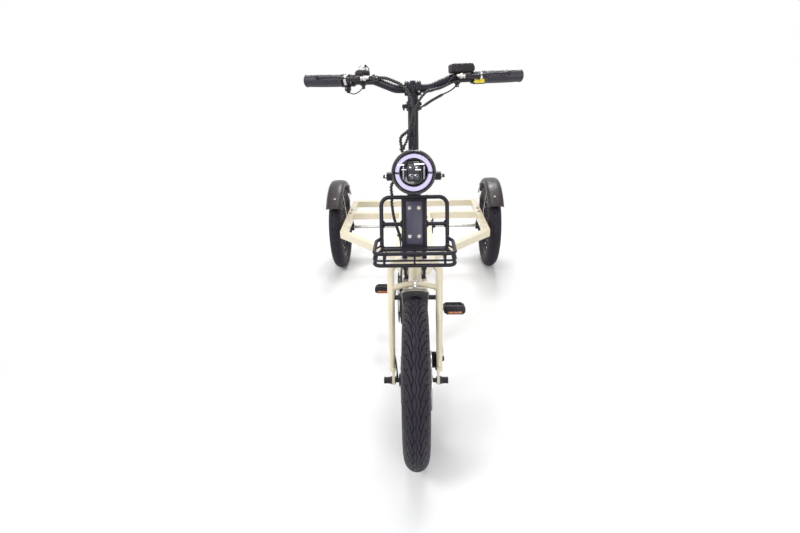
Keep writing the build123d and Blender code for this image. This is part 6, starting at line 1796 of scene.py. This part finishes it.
kit.build("seat_post_shaped", "seat", 35, ("seat_post",))


def saddle_half(t):
    """The saddle's half-width from nose to tail."""
    return 0.0235 + 0.003 * ramp(t, 0.0, 0.35) + 0.0405 * ramp(t, 0.38, 0.86)


def saddle_section(t, k, count, shrink):
    """A point of the saddle's outline across it at a place along it."""
    a = 2 * pi * k / count
    end = max(0.0, 1 - (abs(2 * t - 1)) ** 9) ** 0.5
    half = (saddle_half(t) - shrink) * (0.3 + 0.7 * end)
    s, c = sin(a), cos(a)
    x = half * copysign(abs(s) ** 0.72, s)
    dish = 0.0035 * sin(pi * min(1.0, t * 1.1)) - 0.002 * (1 - t)
    high = saddle_high - shrink * 0.7 - dish - (1 - end) * 0.012
    low = saddle_low + 0.001 + shrink * 0.5 + (1 - end) * 0.006
    centre = (high + low) / 2
    z = centre + (high - low) / 2 * copysign(abs(c) ** (0.55 if c > 0 else 0.3), c)
    return (x, nose_y + shrink + (tail_y - nose_y - 2 * shrink) * t, z)


kit = Kit(leather)
rows, columns = 44, 32
verts = [saddle_section(0.001 + 0.998 * i / rows, k, columns, 0.0035) for i in range(rows + 1) for
    k in range(columns)]
faces = []
for i in range(rows):
    for k in range(columns):
        j = (k + 1) % columns
        faces.append((i * columns + k, i * columns + j, (i + 1) * columns + j, (i + 1) * columns +
            k))
faces.append(tuple(reversed(range(columns))))
faces.append(tuple(rows * columns + k for k in range(columns)))
kit.add(verts, faces, leather)
cover = kit.build("saddle_cover", "seat", 60, ("saddle",))


def puffed(piece, voxel, pressure, frames, cap):
    """Fill a pad with air by cloth simulation, and keep its result."""
    scene = bpy.context.scene
    start = bpy.data.objects.new("start_shape", piece.data.copy())
    scene.collection.objects.link(start)
    shape = start.modifiers.new("voxels", "REMESH")
    shape.mode = "VOXEL"
    shape.voxel_size = voxel
    graph = bpy.context.evaluated_depsgraph_get()
    fine = bpy.data.meshes.new_from_object(start.evaluated_get(graph))
    bpy.data.objects.remove(start)
    work = bpy.data.objects.new("pad_at_work", fine)
    scene.collection.objects.link(work)
    rest = [v.co.copy() for v in fine.vertices]
    cloth = work.modifiers.new("fill", "CLOTH")
    cloth.settings.use_pressure = True
    cloth.settings.uniform_pressure_force = pressure
    cloth.settings.effector_weights.gravity = 0
    cloth.settings.quality = 5
    cloth.point_cache.frame_start = 1
    cloth.point_cache.frame_end = frames
    for number in range(1, frames + 1):
        scene.frame_set(number)
    graph = bpy.context.evaluated_depsgraph_get()
    result = bpy.data.meshes.new_from_object(work.evaluated_get(graph))
    for vert, home in zip(result.vertices, rest):
        move = vert.co - home
        if move.length > cap:
            move = move.normalized() * cap
        vert.co = home + move
    bpy.data.objects.remove(work)
    scene.frame_set(1)
    for mat in piece.data.materials:
        result.materials.append(mat)
    result.shade_smooth()
    piece.data = result


puffed(cover, 0.005, 4.0, 20, 0.006)
soften = cover.modifiers.new("soften", "SMOOTH")
soften.factor = 0.5
soften.iterations = 6
finer = cover.modifiers.new("finer", "SUBSURF")
finer.levels = finer.render_levels = 1

graph = bpy.context.evaluated_depsgraph_get()
skin = bpy.data.meshes.new_from_object(cover.evaluated_get(graph))
shape = bmesh.new()
shape.from_mesh(skin)
tree = BVHTree.FromBMesh(shape)


def on_saddle(x, y, lift):
    """A point just above the saddle's cover."""
    hit, normal, *_ = tree.ray_cast(Vector((x, y, saddle_high + 0.05)), Vector((0, 0, -1)))
    return hit + normal * lift if hit else None


kit = Kit(grip_rubber, leather)
length = tail_y - nose_y
seam_share = 0.6
for side in (-1, 1):
    for step in range(64):
        t = 0.09 + 0.84 * step / 64
        ends = [on_saddle(side * saddle_half(u) * seam_share, nose_y + length * u, 0.0001) for u in
            (t, t + 0.0075)]
        if None not in ends:
            a, b = ends
            kit.tube([a - Z * 0.0004, a + Z * 0.0003, b + Z * 0.0003, b - Z * 0.0004], 0.0004,
                grip_rubber, 5)
    groove = [on_saddle(side * saddle_half(t) * (seam_share + 0.035), nose_y + length * t, -0.0001)
        for t in [0.08 + 0.86 * k / 80 for k in range(81)]]
    kit.tube([p for p in groove if p], 0.0008, leather, 6)
rim_line = []
for k in range(97):
    a = 2 * pi * k / 96
    t = 0.5 - 0.494 * cos(a)
    x, y, _ = saddle_section(t, 8 if sin(a) > 0 else 24, columns, 0.001)
    rim_line.append((x, y, saddle_low + 0.006))
kit.tube(rim_line[:-1], 0.0016, leather, 8, closed=True)
shape.free()
kit.build("saddle_seams", "seat", 60)

kit = Kit(plastic)
base_rows = 36
verts = []
for i in range(base_rows + 1):
    t = 0.02 + 0.96 * i / base_rows
    x, y, _ = saddle_section(t, 8, columns, 0.003)
    for level, share in ((-0.0002, 0.8), (0.0035, 0.97), (0.0075, 0.99), (0.0075, -0.99),
            (0.0035, -0.97), (-0.0002, -0.8)):
        verts.append((x * share, y, saddle_low + level))
faces = []
for i in range(base_rows):
    for k in range(6):
        j = (k + 1) % 6
        faces.append((i * 6 + k, i * 6 + j, (i + 1) * 6 + j, (i + 1) * 6 + k))
faces.append(tuple(range(6)))
faces.append(tuple(base_rows * 6 + k for k in reversed(range(6))))
kit.add(verts, faces, plastic)
for x in (-0.012, 0.0, 0.012):
    kit.tube([(x, nose_y + 0.04, saddle_low - 0.0004), (x * 2.4, tail_y - 0.03, saddle_low -
        0.0004)], 0.0016, plastic, 6)
kit.build("saddle_base", "seat", 35)

# ---- Carried-over nodes and their finishes ----
finishes = {
    ivory: ["head_tube", "main_tube", "bottom_bracket", "seat_tube", "chain_stays", "load_deck",
        "fork"],
    satin: ["headset_cups", "axle_bearings", "brake_anchor", "front_rack", "rack_tray",
        "headlight_bracket", "front_axle", "stem", "handlebar", "front_caliper", "crank_arms",
        "chainring", "hub_motor", "front_rim", "rear_wheel_left", "rear_wheel_right"],
    plastic: ["battery", "display", "throttle", "pedal_left", "pedal_right", "brake_levers",
        "light_switch"],
    fender_plastic: ["rear_fenders"],
    gloss_black: ["headlight_housing", "headlight_lens"],
    warm_grey: ["front_fender"],
    zinc: ["fender_stays", "rear_axle", "rear_sprocket", "seat_post", "brake_drum"],
    brushed: ["front_brake_disc"],
    dark_steel: ["chain"],
    bright: ["bell"],
    grip_rubber: ["grips"],
    sheath: ["steering_cables", "loom_bend", "loom_lower"],
    rubber: ["front_tyre", "rear_tyre_left", "rear_tyre_right"],
    leather: ["saddle"],
    amber: ["pedal_reflectors_left", "pedal_reflectors_right"],
}
for finish, names in finishes.items():
    for name in names:
        piece = nodes[name]
        piece.data.materials.clear()
        piece.data.materials.append(finish)
